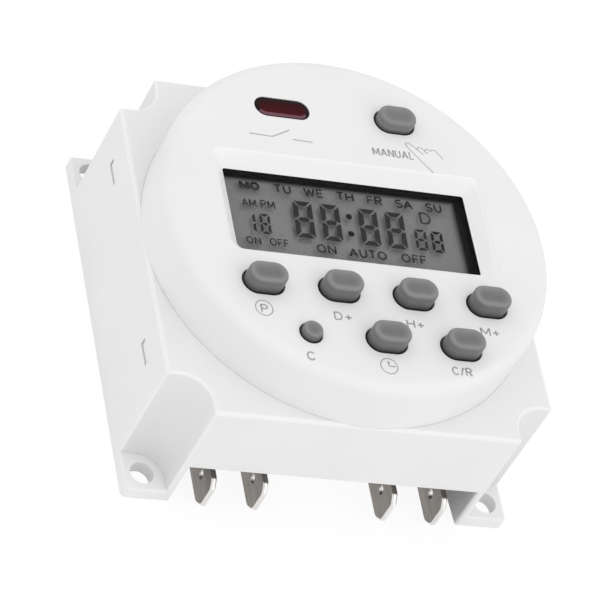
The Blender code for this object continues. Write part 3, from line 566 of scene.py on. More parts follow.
def metal(name, colour, roughness, stretch, share=0.08, cloud=SHEET_CLOUDS):
    """Plated sheet metal with fine drawing lines along one direction."""
    material = plain(name, colour, roughness, metallic=1.0)
    lines = noise(material, DRAWING_LINES, CLOUD_DETAIL, stretch)
    colour_between(material, noise(material, cloud, SHEET_DETAIL, stretch), mottled(colour, share))
    roughness_between(material, lines, roughness - 0.08, roughness + 0.1)
    grain(material, lines, SHEET_RELIEF, 0.4)
    return material


def silicone(name, colour):
    """Soft silicone, with a dusty bloom in its roughness."""
    material = plain(name, colour, 0.55)
    colour_between(material, noise(material, RUBBER_CLOUDS, SHEET_DETAIL), mottled(colour, 0.03))
    fine = noise(material, RUBBER_GRAIN)
    roughness_between(material, fine, 0.5, 0.62)
    grain(material, fine, SHEET_RELIEF)
    shader_input(material, "Sheen Weight").default_value = 0.08
    shader_input(material, "Sheen Roughness").default_value = 0.5
    return material


def tone_along(material, axis, low, high, tones):
    """Colour that changes along one axis of the object, between two places."""
    tree = material.node_tree
    share = spread(tree, place_along(tree, axis), low, high)
    feed(material, "Base Color", colour_ramp(tree, share, tones))


def painted_light_above(material, low, high, gain):
    """Painted light: scale a material's colour up along Y, from its own tone at one place to a gain at
    another.
    """
    tree = material.node_tree
    tone = shader_input(material, "Base Color").links[0].from_socket
    level = spread(tree, place_along(tree, "Y"), low, high, 1.0, gain)
    scaled = shader_node(tree, "VectorMath", {"Vector": tone, "Scale": level}, "SCALE")
    feed(material, "Base Color", scaled.outputs["Vector"])


def key_rubber_painted_light(name, top, tones):
    """Grey silicone with painted light and shade: a painted highlight makes its rim paler and painted shade
    makes it darker down in its hole.
    """
    material = silicone(name, tones[-1][1])
    tone_along(material, "Z", FACE_HEIGHT - CLEAR, top, tones)
    return material


def mask_fading_in_painted_shade(name, corner):
    """Black print that fades into the grey of the glass below and left of a corner; the soft fade is
    painted shade.
    """
    material = plain(name, MASK_TONES[-1][1], 0.45, 0.15)
    tree = material.node_tree
    depths = {}
    for index, axis in enumerate("XY"):
        depths[index] = spread(tree, place_along(tree, axis), corner[index] - MASK_FADE, corner[index])
    nearer = shader_node(tree, "Math", depths, "MAXIMUM").outputs["Value"]
    feed(material, "Base Color", colour_ramp(tree, nearer, MASK_TONES))
    roughness_between(material, noise(material, GLOSS_CLOUDS, CLOUD_DETAIL), 0.42, 0.5)
    return material


def clear_pane(name):
    """A clear pane that shows what is behind it, with gloss that grows at low angles."""
    material = plain(name, (1.0, 1.0, 1.0), 0.03, metallic=1.0)
    tree = material.node_tree
    gloss = shader_node(tree, "Fresnel", {"IOR": PANE_INDEX}).outputs["Fac"]
    back = shader_node(tree, "NewGeometry", {}).outputs["Backfacing"]
    front_only = shader_node(tree, "Math", {0: gloss, 1: back}, "SUBTRACT")
    front_only.use_clamp = True
    feed(material, "Alpha", front_only.outputs["Value"])
    roughness_between(material, noise(material, PANE_CLOUDS, CLOUD_DETAIL), 0.02, 0.05)
    return material


def polished(name, colour, roughness, gloss=0.5):
    """Polished tinted plastic with faint flow marks."""
    material = plain(name, colour, roughness, gloss)
    colour_between(material, noise(material, FLOW_MARKS, CLOUD_DETAIL), mottled(colour, 0.08))
    clouds = noise(material, GLOSS_CLOUDS, CLOUD_DETAIL)
    roughness_between(material, clouds, roughness - 0.03, roughness + 0.05)
    return material


def resist(name):
    """Green solder resist over a board, with the weave of the board faintly showing."""
    material = plain(name, (0.03, 0.16, 0.07), 0.4)
    weave = noise(material, BOARD_WEAVE, FINE_DETAIL, (1.0, 4.0, 1.0))
    colour_between(material, weave, [(0.022, 0.125, 0.055), (0.035, 0.18, 0.08)])
    roughness_between(material, weave, 0.32, 0.46)
    grain(material, weave, MOULD_RELIEF)
    return material


def greys(*stops):
    """Stops of a colour ramp, from positions and grey levels."""
    return [(position, (level, level, level)) for position, level in stops]


# Painted highlight and painted shade on the keys: paler at the rim, darker down in the hole.
KEY_LIGHT_AND_SHADE_TONES = greys((0.0, 0.012), (0.16, 0.07), (0.57, 0.142), (0.86, 0.139), (1.0, 0.235))
MANUAL_LIGHT_AND_SHADE_TONES = greys((0.0, 0.02), (0.16, 0.1), (0.5, 0.185), (0.8, 0.158), (1.0, 0.225))
# Painted highlight: the indicator's red gets paler towards its lower side.
RED_PAINTED_LIGHT_TONES = [(0.0, (0.066, 0.0032, 0.0065)), (1.0, (0.024, 0.003, 0.0045))]
# Glass grey fading to black in the display's border: the fade is painted shade.
MASK_TONES = greys((0.0, 0.181), (1.0, 0.012))
# Painted shade: the pocket walls get darker towards the ears.
POCKET_SHADE_TONES = greys((0.0, 0.765), (1.0, 0.81))

white = moulded("white_plastic", (0.835, 0.835, 0.832), 0.4)
# Painted light: a paler white on the slopes round the window, where the hollow shades them.
slope_painted_light = moulded("window_slope_painted_light", (0.905, 0.905, 0.902), 0.4)
# Painted highlight: a paler white on the rounded rims of the body and the pockets.
edge_painted_highlight = moulded("edge_painted_highlight", (0.875, 0.875, 0.872), 0.4)
# Painted shade: a greyer white for the screw pocket walls, darker towards the ears.
pocket_painted_shade = moulded("pocket_painted_shade", (0.79, 0.79, 0.787), 0.45)
tone_along(pocket_painted_shade, "Z", EAR_THICKNESS, FLANGE_HEIGHT, POCKET_SHADE_TONES)
# Painted shade: a slightly greyer white in the screw holes.
hole_painted_shade = moulded("screw_hole_painted_shade", (0.82, 0.82, 0.817), 0.5)
# Painted shade: a grey on the sides of the terminal bay.
bay_painted_shade = moulded("bay_side_painted_shade", (0.66, 0.66, 0.66), 0.5)
black = moulded("black_plastic", (0.012, 0.012, 0.013), 0.5, share=0.1, gloss=0.15)
clear = clear_pane("clear_pane")
glass = moulded("display_glass", MASK_TONES[0][1], 0.3, POLISH_GRAIN, GLASS_RELIEF, 0.02, SHEET_CLOUDS)
ink_dark = moulded("digit_ink", (0.015, 0.015, 0.016), 0.5, share=0.05, gloss=0.2)
ink_soft = moulded("word_ink", (0.026, 0.026, 0.027), 0.5, share=0.05, gloss=0.2)
ink_black = moulded("colon_ink", (0.008, 0.008, 0.008), 0.5, share=0.05, gloss=0.1)
ink_grey = moulded("legend_ink", (0.4, 0.4, 0.4), 0.5, share=0.05, cloud=LEGEND_CLOUDS)
red = polished("red_acrylic", (0.047, 0.0028, 0.0055), 0.2, 0.07)
# Painted highlight and painted shade on the indicator: pink on its lower bevel, near black on its sides and
# ledge.
red_painted_highlight = polished("red_acrylic_painted_highlight", (0.15, 0.06, 0.083), 0.3, 0.25)
red_painted_shade = polished("red_acrylic_painted_shade", (0.012, 0.003, 0.004), 0.4, 0.1)
tin = metal("tinned_brass", (0.25, 0.23, 0.213), 0.42, (1.0, 0.08, 1.0), 0.15, TIN_CLOUDS)
# Painted highlight: a pale tone on the blades' faces that turn towards the tip.
tin_painted_highlight = metal("tinned_painted_highlight", (0.8, 0.785, 0.77), 0.3, (1.0, 1.0, 0.1), 0.12, TIN_CLOUDS)
steel = metal("zinc_steel", (0.6, 0.6, 0.62), 0.32, (1.0, 1.0, 0.1))
nickel = metal("nickel_steel", (0.65, 0.65, 0.65), 0.28, (0.1, 1.0, 1.0))
board = resist("green_resist")
dark = moulded("dark_moulding", (0.04, 0.04, 0.045), 0.48, share=0.1, cloud=PART_CLOUDS)
mat_grey = silicone("mat_silicone", (0.3, 0.3, 0.3))
blue = polished("blue_coating", (0.05, 0.16, 0.42), 0.35)
yellow = polished("yellow_box", (0.6, 0.45, 0.06), 0.4)
ribbon = moulded("ribbon_plastic", (0.45, 0.45, 0.47), 0.45, share=0.05, cloud=FLOW_MARKS)


# Case

def block_stack(half, corner, rim_round, top):
    """Sections of a square plate with round corners, a round front rim and an eased back rim."""
    insets = [(BACK_ROUND, 0.0), (0.0, BACK_ROUND)]
    insets += flare(rim_round, top, 90.0)
    sections = []
    for inset, height in insets:
        reach = half - inset
        loop = rounded_rectangle((-reach, -reach), (reach, reach), max(corner - inset, LEAST_CORNER))
        sections.append(at(loop, height))
    return sections


def disc_stack():
    """Sections of the round front with its rounded shoulder."""
    profile = [(DISC_RADIUS, FLANGE_INNER - PAST)]
    profile += arc((DISC_RADIUS - SHOULDER, FACE_HEIGHT - SHOULDER), SHOULDER, 0.0, 90.0, SHOULDER_STEPS)
    return [at(circle((0.0, 0.0), radius, DISC_STEPS), height) for radius, height in profile]


def pocket_loop(grow):
    """The corner that a screw pocket takes out of the body, with its outer edges eased."""
    edge = POCKET_EDGE - grow
    outside = HALF + POCKET_ROUND
    ease = arc((HALF - POCKET_RIM, edge - POCKET_RIM), POCKET_RIM, 90.0 - RIM_TURN, 90.0, ROUND_STEPS)
    side = [(outside, ease[0][1])] + ease
    scoop = arc((SCOOP_CENTRE, SCOOP_CENTRE), SCOOP_ROUND + grow, 270.0, 180.0)
    back = [(y, x) for x, y in side]
    return [(outside, outside)] + back + scoop[::-1] + side[::-1]


def pocket_stack(side_x, side_y):
    """A pocket through the body: a fine groove at its foot, flared at its front rim."""
    groove_top = EAR_THICKNESS + GROOVE_HEIGHT
    levels = [(POCKET_GROOVE, -PAST), (POCKET_GROOVE, groove_top - POCKET_GROOVE), (0.0, groove_top)]
    levels += flare(POCKET_RIM, FLANGE_HEIGHT)
    levels.append((levels[-1][0], FACE_HEIGHT + PAST))
    return [at(mirrored(pocket_loop(grow), side_x, side_y), height) for grow, height in levels]


def inner_corner(side_x, side_y):
    """The inside of the case wall round the pocket in one corner."""
    radius = POCKET_ROUND + WALL
    skipped = degrees(asin((POCKET_CENTRE - (HALF - WALL)) / radius))
    loop = arc((POCKET_CENTRE, POCKET_CENTRE), radius, 270.0 - skipped, 180.0 + skipped, ROUND_STEPS)
    return mirrored(loop, side_x, side_y)


def upper_room():
    """The inside of the case above the terminal bay."""
    loop = []
    for side_x, side_y in ((1, 1), (-1, 1), (-1, -1), (1, -1)):
        loop += inner_corner(side_x, side_y)
    return prism_mesh("upper_room", [loop], BAY_HEIGHT + WALL, FLANGE_INNER)


def lower_room():
    """The inside of the case beside the terminal bay, open at the back."""
    side = HALF - WALL
    loop = inner_corner(1, 1) + inner_corner(-1, 1)
    loop += [(-side, BAY_WALL_INNER), (side, BAY_WALL_INNER)]
    return prism_mesh("lower_room", [loop], -PAST, BAY_HEIGHT + WALL + PAST)


def terminal_bay():
    """The bay in the bottom side, its sides splayed and its mouth eased."""
    levels = [(0.0, 0.0, BAY_WALL_INNER + PAST), (0.0, 0.0, BAY_WALL_OUTER)]
    levels += [(BAY_SPLAY + out, 0.0, -depth) for out, depth in flare(BAY_SIDE_RIM, HALF, BAY_SIDE_TURN)]
    side = flare(BAY_SIDE_RIM, HALF)[BAY_SHARED_STEP:]
    front = flare(BAY_RIM, HALF)[BAY_SHARED_STEP:]
    levels += [(BAY_SPLAY + out, up, -depth) for (out, depth), (up, level) in zip(side, front)]
    levels.append((levels[-1][0], levels[-1][1], -HALF - PAST))
    sections = []
    for out, up, y in levels:
        reach = BAY_HALF + out
        loop = rounded_rectangle((-reach, -BAY_HEIGHT), (reach, BAY_HEIGHT + up), BAY_RIM)
        sections.append([(x, y, z) for x, z in loop])
    return loft_mesh("terminal_bay", [sections])


def window_funnel():
    """The sloping opening in front of the display, with round corners and an eased rim."""
    levels = [(0.0, 0.0, FACE_INNER - PAST), (0.0, 0.0, FACE_INNER)]
    for grow, height in flare(WINDOW_RIM, FACE_HEIGHT):
        levels.append(((height - FACE_INNER) / FACE_PLATE, grow, height))
    levels.append((levels[-1][0], levels[-1][1], FACE_HEIGHT + PAST))
    sections = []
    for slope, grow, height in levels:
        reach = WINDOW_WIDTH / 2 + BEZEL_SIDE * slope + grow
        low_y = WINDOW_LOW - BEZEL_BOTTOM * slope - grow
        high_y = WINDOW_TOP + BEZEL_TOP * slope + grow
        wider = WINDOW_WIDENING * slope + grow
        loop = rounded_rectangle(
            (WINDOW_SHIFT - reach, low_y), (WINDOW_SHIFT + reach, high_y),
            WINDOW_BACK_CORNER + wider, WINDOW_ROUND_CORNER + wider)
        sections.append(at(loop, height))
    return loft_mesh("window_funnel", [sections])


def hole_stack(centre, length, width):
    """A hole in the face with an eased rim."""
    levels = eased_hole(FACE_INNER - PAST, HOLE_RIM, FACE_HEIGHT)
    return [at(stadium(centre, length + 2 * grow, width + 2 * grow), height) for grow, height in levels]


def face_holes():
    """Holes for the keys and the indicator."""
    stacks = []
    size = (KEY_LENGTH + 2 * CLEAR, KEY_WIDTH + 2 * CLEAR)
    for key in OVAL_KEYS:
        stacks.append(hole_stack(centre_of("key_" + key), *size))
    reset = RESET_DIAMETER + 2 * CLEAR
    stacks.append(hole_stack(centre_of("key_reset"), reset, reset))
    size = (INDICATOR_LENGTH + 2 * INDICATOR_MARGIN, INDICATOR_WIDTH + 2 * INDICATOR_MARGIN)
    stacks.append(hole_stack(centre_of("indicator_lens"), *size))
    return loft_mesh("face_holes", stacks)


def ear_holes():
    """Screw holes through the ears, eased in front."""
    inset = HALF - EAR_HOLE_INSET
    levels = eased_hole(-PAST, HOLE_RIM, EAR_THICKNESS)
    stacks = []
    for side_x, side_y in CORNERS:
        centre = (side_x * inset, side_y * inset)
        stacks.append([at(circle(centre, EAR_HOLE / 2 + grow), height) for grow, height in levels])
    return loft_mesh("ear_holes", stacks)


def latch_windows():
    """The four slots in the side walls that the cover's barbs snap into."""
    stacks = []
    for side_x, side_y in CORNERS:
        middle = side_y * LATCH_Y
        loop = rounded_rectangle(
            (middle - LATCH_LENGTH / 2, LATCH_LOW),
            (middle + LATCH_LENGTH / 2, LATCH_LOW + LATCH_HEIGHT), HOLE_RIM)
        ends = (side_x * (HALF - 2 * WALL), side_x * (HALF + PAST))
        stacks.append([upright(loop, x) for x in ends])
    return loft_mesh("latch_windows", stacks)


def foot_seam():
    """The fine groove round the foot of the control disc."""
    rings = []
    for radius, height in (
        (DISC_RADIUS - SEAM_DEPTH, FLANGE_HEIGHT - SEAM_WIDTH),
        (DISC_RADIUS + SEAM_WIDTH, FLANGE_HEIGHT - SEAM_WIDTH),
        (DISC_RADIUS + SEAM_WIDTH, FLANGE_HEIGHT + SEAM_WIDTH),
        (DISC_RADIUS - SEAM_DEPTH, FLANGE_HEIGHT + SEAM_WIDTH),
    ):
        rings.append(at(circle((0.0, 0.0), radius, DISC_STEPS), height))
    bm = bmesh.new()
    rings = [[bm.verts.new(point) for point in ring] for ring in rings]
    ring_faces(bm, zip(rings, rings[1:] + rings[:1]))
    return mesh_of("foot_seam", bm)


def boss_places():
    """Middles of the bosses that the display board's screws go into."""
    return [(BOSS_RING * cos(radians(a)), BOSS_RING * sin(radians(a))) for a in BOSS_ANGLES]


def on_window_slope(face):
    """Whether a face is part of the slopes round the window."""
    across = abs(face.center.x - WINDOW_SHIFT) < WINDOW_WIDTH / 2 + BEZEL_SIDE
    along = WINDOW_LOW - BEZEL_BOTTOM < face.center.y < WINDOW_TOP + BEZEL_TOP
    return across and along and face.center.z > FACE_INNER and WALL_LEAN < face.normal.z < SQUARE_ON


def in_ear_hole(face):
    """Whether a face is part of the wall of a screw hole."""
    inset = HALF - EAR_HOLE_INSET
    away = Vector((abs(face.center.x) - inset, abs(face.center.y) - inset)).length
    wall = abs(face.normal.z) < WALL_LEAN and face.center.z < EAR_THICKNESS
    return wall and away < EAR_HOLE / 2 + HOLE_RIM


def on_bay_side(face):
    """Whether a face is part of a side of the terminal bay."""
    inside = abs(face.center.x) < BAY_HALF + BAY_SPLAY and face.center.z < BAY_HEIGHT
    return inside and face.center.y < BAY_WALL_OUTER and abs(face.normal.x) > SQUARE_ON


def on_side(face):
    """Whether a face is part of a wall above the ears."""
    return abs(face.normal.z) < WALL_LEAN and EAR_THICKNESS < face.center.z < FLANGE_HEIGHT


def on_body_rim(face):
    """Whether a face is part of a rounded edge round the front of the body or beside a pocket."""
    high = FLANGE_HEIGHT - RIM_ROUND < face.center.z < FLANGE_HEIGHT
    rounded = EDGE_TURN < face.normal.z < EDGE_FLAT
    reach = max(abs(face.center.x), abs(face.center.y))
    turned = min(abs(face.normal.x), abs(face.normal.y)) > EDGE_TURN
    return high and rounded or on_side(face) and turned and reach > HALF - POCKET_RIM


def in_pocket(face):
    """Whether a face is part of the wall of a screw pocket."""
    nearer = min(abs(face.center.x), abs(face.center.y))
    return on_side(face) and nearer > POCKET_EDGE - POCKET_GROOVE / 2


def housing_finish(face):
    """Number of the material of a face of the housing."""
    tests = (on_window_slope, in_ear_hole, on_bay_side, on_body_rim, in_pocket)
    for number, test in enumerate(tests, 1):
        if test(face):
            return number
    return 0


def housing():
    """The front moulding: square body, round control face, pockets, ears, bay and openings."""
    block = loft_mesh("housing", [block_stack(HALF, RIM_ROUND, RIM_ROUND, FLANGE_HEIGHT)])
    plate = block_stack(HALF - PLATE_INSET, RIM_ROUND, EAR_RIM, EAR_THICKNESS)
    disc_room = prism_mesh(
        "disc_room", [circle((0.0, 0.0), CAVITY_RADIUS, DISC_STEPS)], FLANGE_INNER - PAST, FACE_INNER)
    bosses = [circle(place, BOSS_RADIUS, SMALL_STEPS) for place in boss_places()]
    pilots = [circle(place, PILOT_RADIUS, SMALL_STEPS) for place in boss_places()]
    boss_mesh = prism_mesh("bosses", bosses, BOSS_LOW, FACE_INNER + FACE_PLATE / 2)
    pilot_mesh = prism_mesh("pilots", pilots, BOSS_LOW - PAST, BOSS_LOW + PILOT_DEPTH)
    piece = carved("housing", block, [
        ("UNION", loft_mesh("disc", [disc_stack()])),
        ("DIFFERENCE", loft_mesh("pockets", [pocket_stack(*corner) for corner in CORNERS])),
        ("UNION", loft_mesh("ears", [plate])),
        ("DIFFERENCE", upper_room()),
        ("DIFFERENCE", lower_room()),
        ("DIFFERENCE", terminal_bay()),
        ("DIFFERENCE", disc_room),
        ("DIFFERENCE", foot_seam()),
        ("DIFFERENCE", window_funnel()),
        ("DIFFERENCE", face_holes()),
        ("DIFFERENCE", ear_holes()),
        ("DIFFERENCE", latch_windows()),
        ("UNION", boss_mesh),
        ("DIFFERENCE", pilot_mesh),
    ])
    dress(smooth(piece), "case", white)
    # Painted light and shade by face: paler window slopes and rims, greyer screw holes, bay sides and
    # pocket walls.
    share_out(piece, [slope_painted_light, hole_painted_shade, bay_painted_shade, edge_painted_highlight, pocket_painted_shade], housing_finish)
    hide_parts("front_housing")


# Keys and indicator

def cap_levels(low, high, plunger, cap, rounding, dish):
    """Sizes and heights of a key's sections, from the end of its plunger to the middle of its dish."""
    flange = [size + 2 * KEY_LIP + 2 * CLEAR for size in cap]
    flange_top = FACE_INNER - CLEAR
    flange_low = flange_top - KEY_FLANGE
    levels = [(plunger, low), (plunger, flange_low), (flange, flange_low)]
    levels += [(flange, flange_top), (cap, flange_top)]
    for step in range(CAP_STEPS + 1):
        turn = radians(90.0 * step / CAP_STEPS)
        inset = rounding * (1 - cos(turn))
        levels.append(([size - 2 * inset for size in cap], high - rounding + rounding * sin(turn)))
    span = cap[1] / 2 - rounding - DISH_CORE
    for step in range(1, DISH_STEPS + 1):
        share = step / DISH_STEPS
        inset = rounding + span * share
        levels.append(([size - 2 * inset for size in cap], high - dish * (1 - (1 - share) ** 2)))
    return levels


def key_piece(key, plunger, cap, rounding, dish):
    """A key with its plunger, flange, rounded cap and dish."""
    low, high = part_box("key_" + key)
    centre = centre_of("key_" + key)
    levels = cap_levels(low.z, high.z, plunger, cap, rounding, dish)
    sections = [at(stadium(centre, *size), height) for size, height in levels]
    piece = lofted(key + "_cap", sections)
    # The cap's tones are painted light and shade by height.
    tones = MANUAL_LIGHT_AND_SHADE_TONES if key == "manual" else KEY_LIGHT_AND_SHADE_TONES
    dress(smooth(piece, CREASE_ANGLE), key + "_key", key_rubber_painted_light(key + "_rubber", high.z, tones))
    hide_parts("key_" + key)


def keys():
    """The seven oval keys and the small round one."""
    for key in OVAL_KEYS:
        key_piece(key, (PLUNGER_LENGTH, PLUNGER_WIDTH), (KEY_LENGTH, KEY_WIDTH), KEY_ROUND, KEY_DISH)
    button = (RESET_DIAMETER, RESET_DIAMETER)
    key_piece("reset", (RESET_PLUNGER, RESET_PLUNGER), button, RESET_ROUND, RESET_DISH)


def indicator_finish(face):
    """Number of the material of a face of the indicator: its top, its bevel with a painted highlight, or
    its sides and ledge in painted shade.
    """
    if face.center.z > INDICATOR_TOP - INDICATOR_LEDGE / 4:
        return 0
    lit = BEVEL_LEAN < face.normal.z < SQUARE_ON and face.normal.y < -WALL_LEAN
    return 1 if lit else 2


def indicator():
    """The red window: a bevelled top, a ledge that fills the hole and is darkened as painted shade, and a
    flange behind.
    """
    low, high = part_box("indicator_lens")
    centre = centre_of("indicator_lens")
    size = (INDICATOR_LENGTH, INDICATOR_WIDTH)
    skirt = [s + 2 * INDICATOR_SKIRT for s in size]
    flange = (high.x - low.x, high.y - low.y)
    flange_top = FACE_INNER - CLEAR
    filled = [s + 2 * INDICATOR_MARGIN - 2 * INDICATOR_GAP for s in size]
    levels = [
        (flange, low.z),
        (flange, flange_top),
        (filled, flange_top),
        (filled, high.z - INDICATOR_LEDGE),
        (skirt, high.z - INDICATOR_LEDGE),
        ([s - 2 * INDICATOR_BEVEL for s in skirt], high.z),
    ]
    sections = [at(stadium(centre, *span), height) for span, height in levels]
    piece = lofted("indicator_window", sections)
    dress(smooth(piece), "case", red)
    half = INDICATOR_WIDTH / 2
    # Painted highlight: the red top is paler towards its lower side.
    tone_along(red, "Y", centre[1] - half, centre[1] + half, RED_PAINTED_LIGHT_TONES)
    # Painted highlight on the lower bevel, painted shade on the sides and the ledge that fills the hole.
    share_out(piece, [red_painted_highlight, red_painted_shade], indicator_finish)
    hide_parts("indicator_lens")


# Blade terminals

def blunted(points, radii):
    """A loop whose corners are rounded, each by a short curve of its own size."""
    loop = []
    for index, (corner, radius) in enumerate(zip(points, radii)):
        middle = Vector(corner)
        before = Vector(points[index - 1])
        after = Vector(points[(index + 1) % len(points)])
        start = middle + (before - middle).normalized() * radius
        end = middle + (after - middle).normalized() * radius
        for step in range(ROUND_STEPS + 1):
            share = step / ROUND_STEPS
            near = start.lerp(middle, share)
            far = middle.lerp(end, share)
            loop.append(tuple(near.lerp(far, share)))
    return loop


def blade_loop(tip, low, high):
    """Outline of the tab of a blade in Y and Z, from tip to shoulder."""
    shoulder = BAY_WALL_OUTER - CLEAR
    points = [
        (tip, low + TAB_LOW_CLIP),
        (tip + TAB_LOW_TAPER, low),
        (shoulder, low),
        (shoulder, high),
        (tip + TAB_TAPER, high),
        (tip, high - TAB_CLIP),
    ]
    radii = [TAB_LOW_CORNER] * 2 + [TAB_CORNER] * 4
    return blunted(points, radii)


def neck_mesh(middle, back):
    """The neck through the bay wall and the leg through the board, back to a given depth."""
    board_low, board_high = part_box("power_board")
    neck_low = board_high.z + CLEAR
    neck_top = neck_low + NECK_HEIGHT
    leg_near = back - LEG_WIDTH
    leg_low = board_low.z - LEG_BELOW_BOARD
    front = BAY_WALL_OUTER - CLEAR - PAST
    loop = [(front, neck_low), (leg_near, neck_low), (leg_near, leg_low)]
    loop += [(back, leg_low), (back, neck_top), (front, neck_top)]
    half = TAB_THICKNESS / 2 - TAB_EDGE
    return loft_mesh("neck", [[upright(loop, middle + x) for x in (-half, half)]])


def blade(number):
    """A stamped blade with a blunt coined tip and a detent hole."""
    node = "terminal_%d" % number
    low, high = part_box(node)
    middle = (low.x + high.x) / 2
    half = TAB_THICKNESS / 2
    base = low.z - TAB_DROP
    outer = blade_loop(low.y + TAB_COIN_LENGTH, base + TAB_EDGE, high.z - TAB_EDGE)
    inner = blade_loop(low.y, base, high.z)
    levels = [(-half, outer), (TAB_COIN - half, inner), (half - TAB_COIN, inner), (half, outer)]
    tab = loft_mesh(node, [[upright(loop, middle + x) for x, loop in levels]])
    ring = circle((low.y + TAB_HOLE_FROM_TIP, (low.z + high.z) / 2), TAB_HOLE / 2)
    hole = loft_mesh("detent", [[upright(ring, middle + x) for x in (-PAST, PAST)]])
    piece = carved("blade_%d" % number, tab, [("UNION", neck_mesh(middle, high.y)), ("DIFFERENCE", hole)])
    dress(smooth(piece), "case", tin)
    # Painted highlight: faces turned towards the tip get a pale tone.
    share_out(piece, [tin_painted_highlight], lambda face: 1 if face.normal.y < -BEVEL_LEAN else 0)
    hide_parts(node)


# Legends

def bow(centre, radii, start, end):
    """Points on part of an oval."""
    unit = arc((0.0, 0.0), 1.0, start, end)
    return [(centre[0] + radii[0] * x, centre[1] + radii[1] * y) for x, y in unit]


# Strokes of each letter in a box one wide and one high, and the letter's width for its height
LEFT = [(0, 0), (0, 1)]
RIGHT = [(1, 0), (1, 1)]
LETTERS = {
    "A": (0.95, [[(0, 0), (0.5, 1)], [(0.5, 1), (1, 0)], [(0.18, 0.34), (0.82, 0.34)]]),
    "C": (0.85, [bow((0.53, 0.5), (0.53, 0.5), 42.0, 318.0)]),
    "D": (0.85, [LEFT, [(0, 1)] + bow((0.42, 0.5), (0.58, 0.5), 90.0, -90.0) + [(0, 0)]]),
    "E": (0.7, [[(1, 1), (0, 1), (0, 0), (1, 0)], [(0, 0.52), (0.85, 0.52)]]),
    "F": (0.65, [[(1, 1), (0, 1), (0, 0)], [(0, 0.5), (0.85, 0.5)]]),
    "H": (0.85, [LEFT, RIGHT, [(0, 0.52), (1, 0.52)]]),
    "L": (0.6, [[(0, 1), (0, 0), (1, 0)]]),
    "M": (1.05, [LEFT, [(0, 1), (0.5, 0.2)], [(0.5, 0.2), (1, 1)], RIGHT[::-1]]),
    "N": (0.85, [LEFT, [(0, 1), (1, 0)], RIGHT]),
    "O": (1.0, [bow((0.5, 0.5), (0.5, 0.5), 90.0, 450.0)]),
    "P": (0.75, [LEFT, [(0, 1)] + bow((0.6, 0.74), (0.4, 0.26), 90.0, -90.0) + [(0, 0.48)]]),
    "R": (0.8, [
        LEFT, [(0, 1)] + bow((0.6, 0.75), (0.4, 0.25), 90.0, -90.0) + [(0, 0.5)], [(0.5, 0.5), (1, 0)],
    ]),
    "S": (0.75, [
        bow((0.5, 0.75), (0.46, 0.25), 25.0, 270.0) + bow((0.5, 0.25), (0.5, 0.25), 80.0, -155.0),
    ]),
    "T": (0.8, [[(0, 1), (1, 1)], [(0.5, 1), (0.5, 0)]]),
    "U": (0.8, [[(0, 1)] + bow((0.5, 0.4), (0.5, 0.4), 180.0, 360.0) + [(1, 1)]]),
    "W": (1.25, [
        [(0, 1), (0.25, 0)], [(0.25, 0), (0.5, 0.9)], [(0.5, 0.9), (0.75, 0)], [(0.75, 0), (1, 1)],
    ]),
    "+": (0.75, [[(0, 0.42), (1, 0.42)], [(0.5, 0.08), (0.5, 0.76)]]),
    "/": (0.4, [[(0, 0), (1, 1)]]),
}

# Words on the face, in millimetres: key, text, width, how far left of the key's middle and how far below it
KEY_WORDS = (
    ("program", "P", 1.15, 0.68, 4.72),
    ("day", "D+", 2.8, 0.28, 4.66),
    ("hour", "H+", 2.8, 0.65, 4.7),
    ("minute", "M+", 3.1, 0.5, 4.7),
    ("reset", "C", 1.35, 0.71, 4.0),
    ("cancel", "C/R", 3.2, 0.7, 4.1),
    ("manual", "MANUAL", 6.65, 1.35, 6.0),
)

# An open contact below the indicator, drawn from the indicator's middle in millimetres
SWITCH_LINES = (
    [(-6.1, -5.55), (-2.5, -5.65), (0.35, -4.1)],
    [(0.65, -5.75), (3.75, -5.85)],
)

# An outline hand whose finger points at the manual key, drawn from the key's middle in millimetres
HAND_LINES = (
    [(1.04, -3.95), (1.35, -4.55), (2.0, -5.35), (2.45, -6.0), (3.1, -6.8), (3.6, -7.45), (4.6, -8.75)],
    [(1.04, -3.95), (1.18, -3.65), (1.46, -3.55), (2.2, -4.05), (2.75, -4.6), (3.65, -5.45)],
    [(2.75, -4.6), (3.0, -4.3), (3.3, -4.2), (3.65, -4.3), (4.0, -4.8)],
    [(4.0, -4.8), (4.2, -4.45), (4.5, -4.35), (4.9, -4.65)],
    [(4.0, -4.8), (4.15, -5.05), (4.5, -5.05)],
    [(4.9, -4.65), (5.3, -4.4), (5.7, -4.4), (6.1, -4.9), (6.7, -5.9)],
)


def word_meshes(text, width, height, line):
    """The strokes of a word, fitted to a width and a height round the origin."""
    span = sum(LETTERS[letter][0] for letter in text) + LETTER_GAP * (len(text) - 1)
    scale_x = (width - line) / span
    scale_y = height - line
    meshes = []
    left = -span / 2
    for letter in text:
        wide, strokes = LETTERS[letter]
        for stroke in strokes:
            points = [((left + wide * x) * scale_x, (y - 0.5) * scale_y) for x, y in stroke]
            meshes.append(stroke_mesh("letter", points, line))
        left += wide + LETTER_GAP
    return meshes


def stroke_mesh(name, points, width, closed=False):
    """A printed line through points, one high until it is printed."""
    curve = bpy.data.curves.new(name, "CURVE")
    curve.dimensions = "3D"
    curve.bevel_depth = width / 2
    curve.bevel_resolution = 1
    curve.use_fill_caps = True
    spline = curve.splines.new("POLY")
    spline.points.add(len(points) - 1)
    for point, (x, y) in zip(spline.points, points):
        point.co = (x, y, 0.0, 1.0)
    spline.use_cyclic_u = closed
    drawn = new_object(name, curve)
    mesh = welded(evaluated_mesh(drawn))
    bpy.data.objects.remove(drawn, do_unlink=True)
    for vert in mesh.vertices:
        vert.co.z /= width
    return mesh


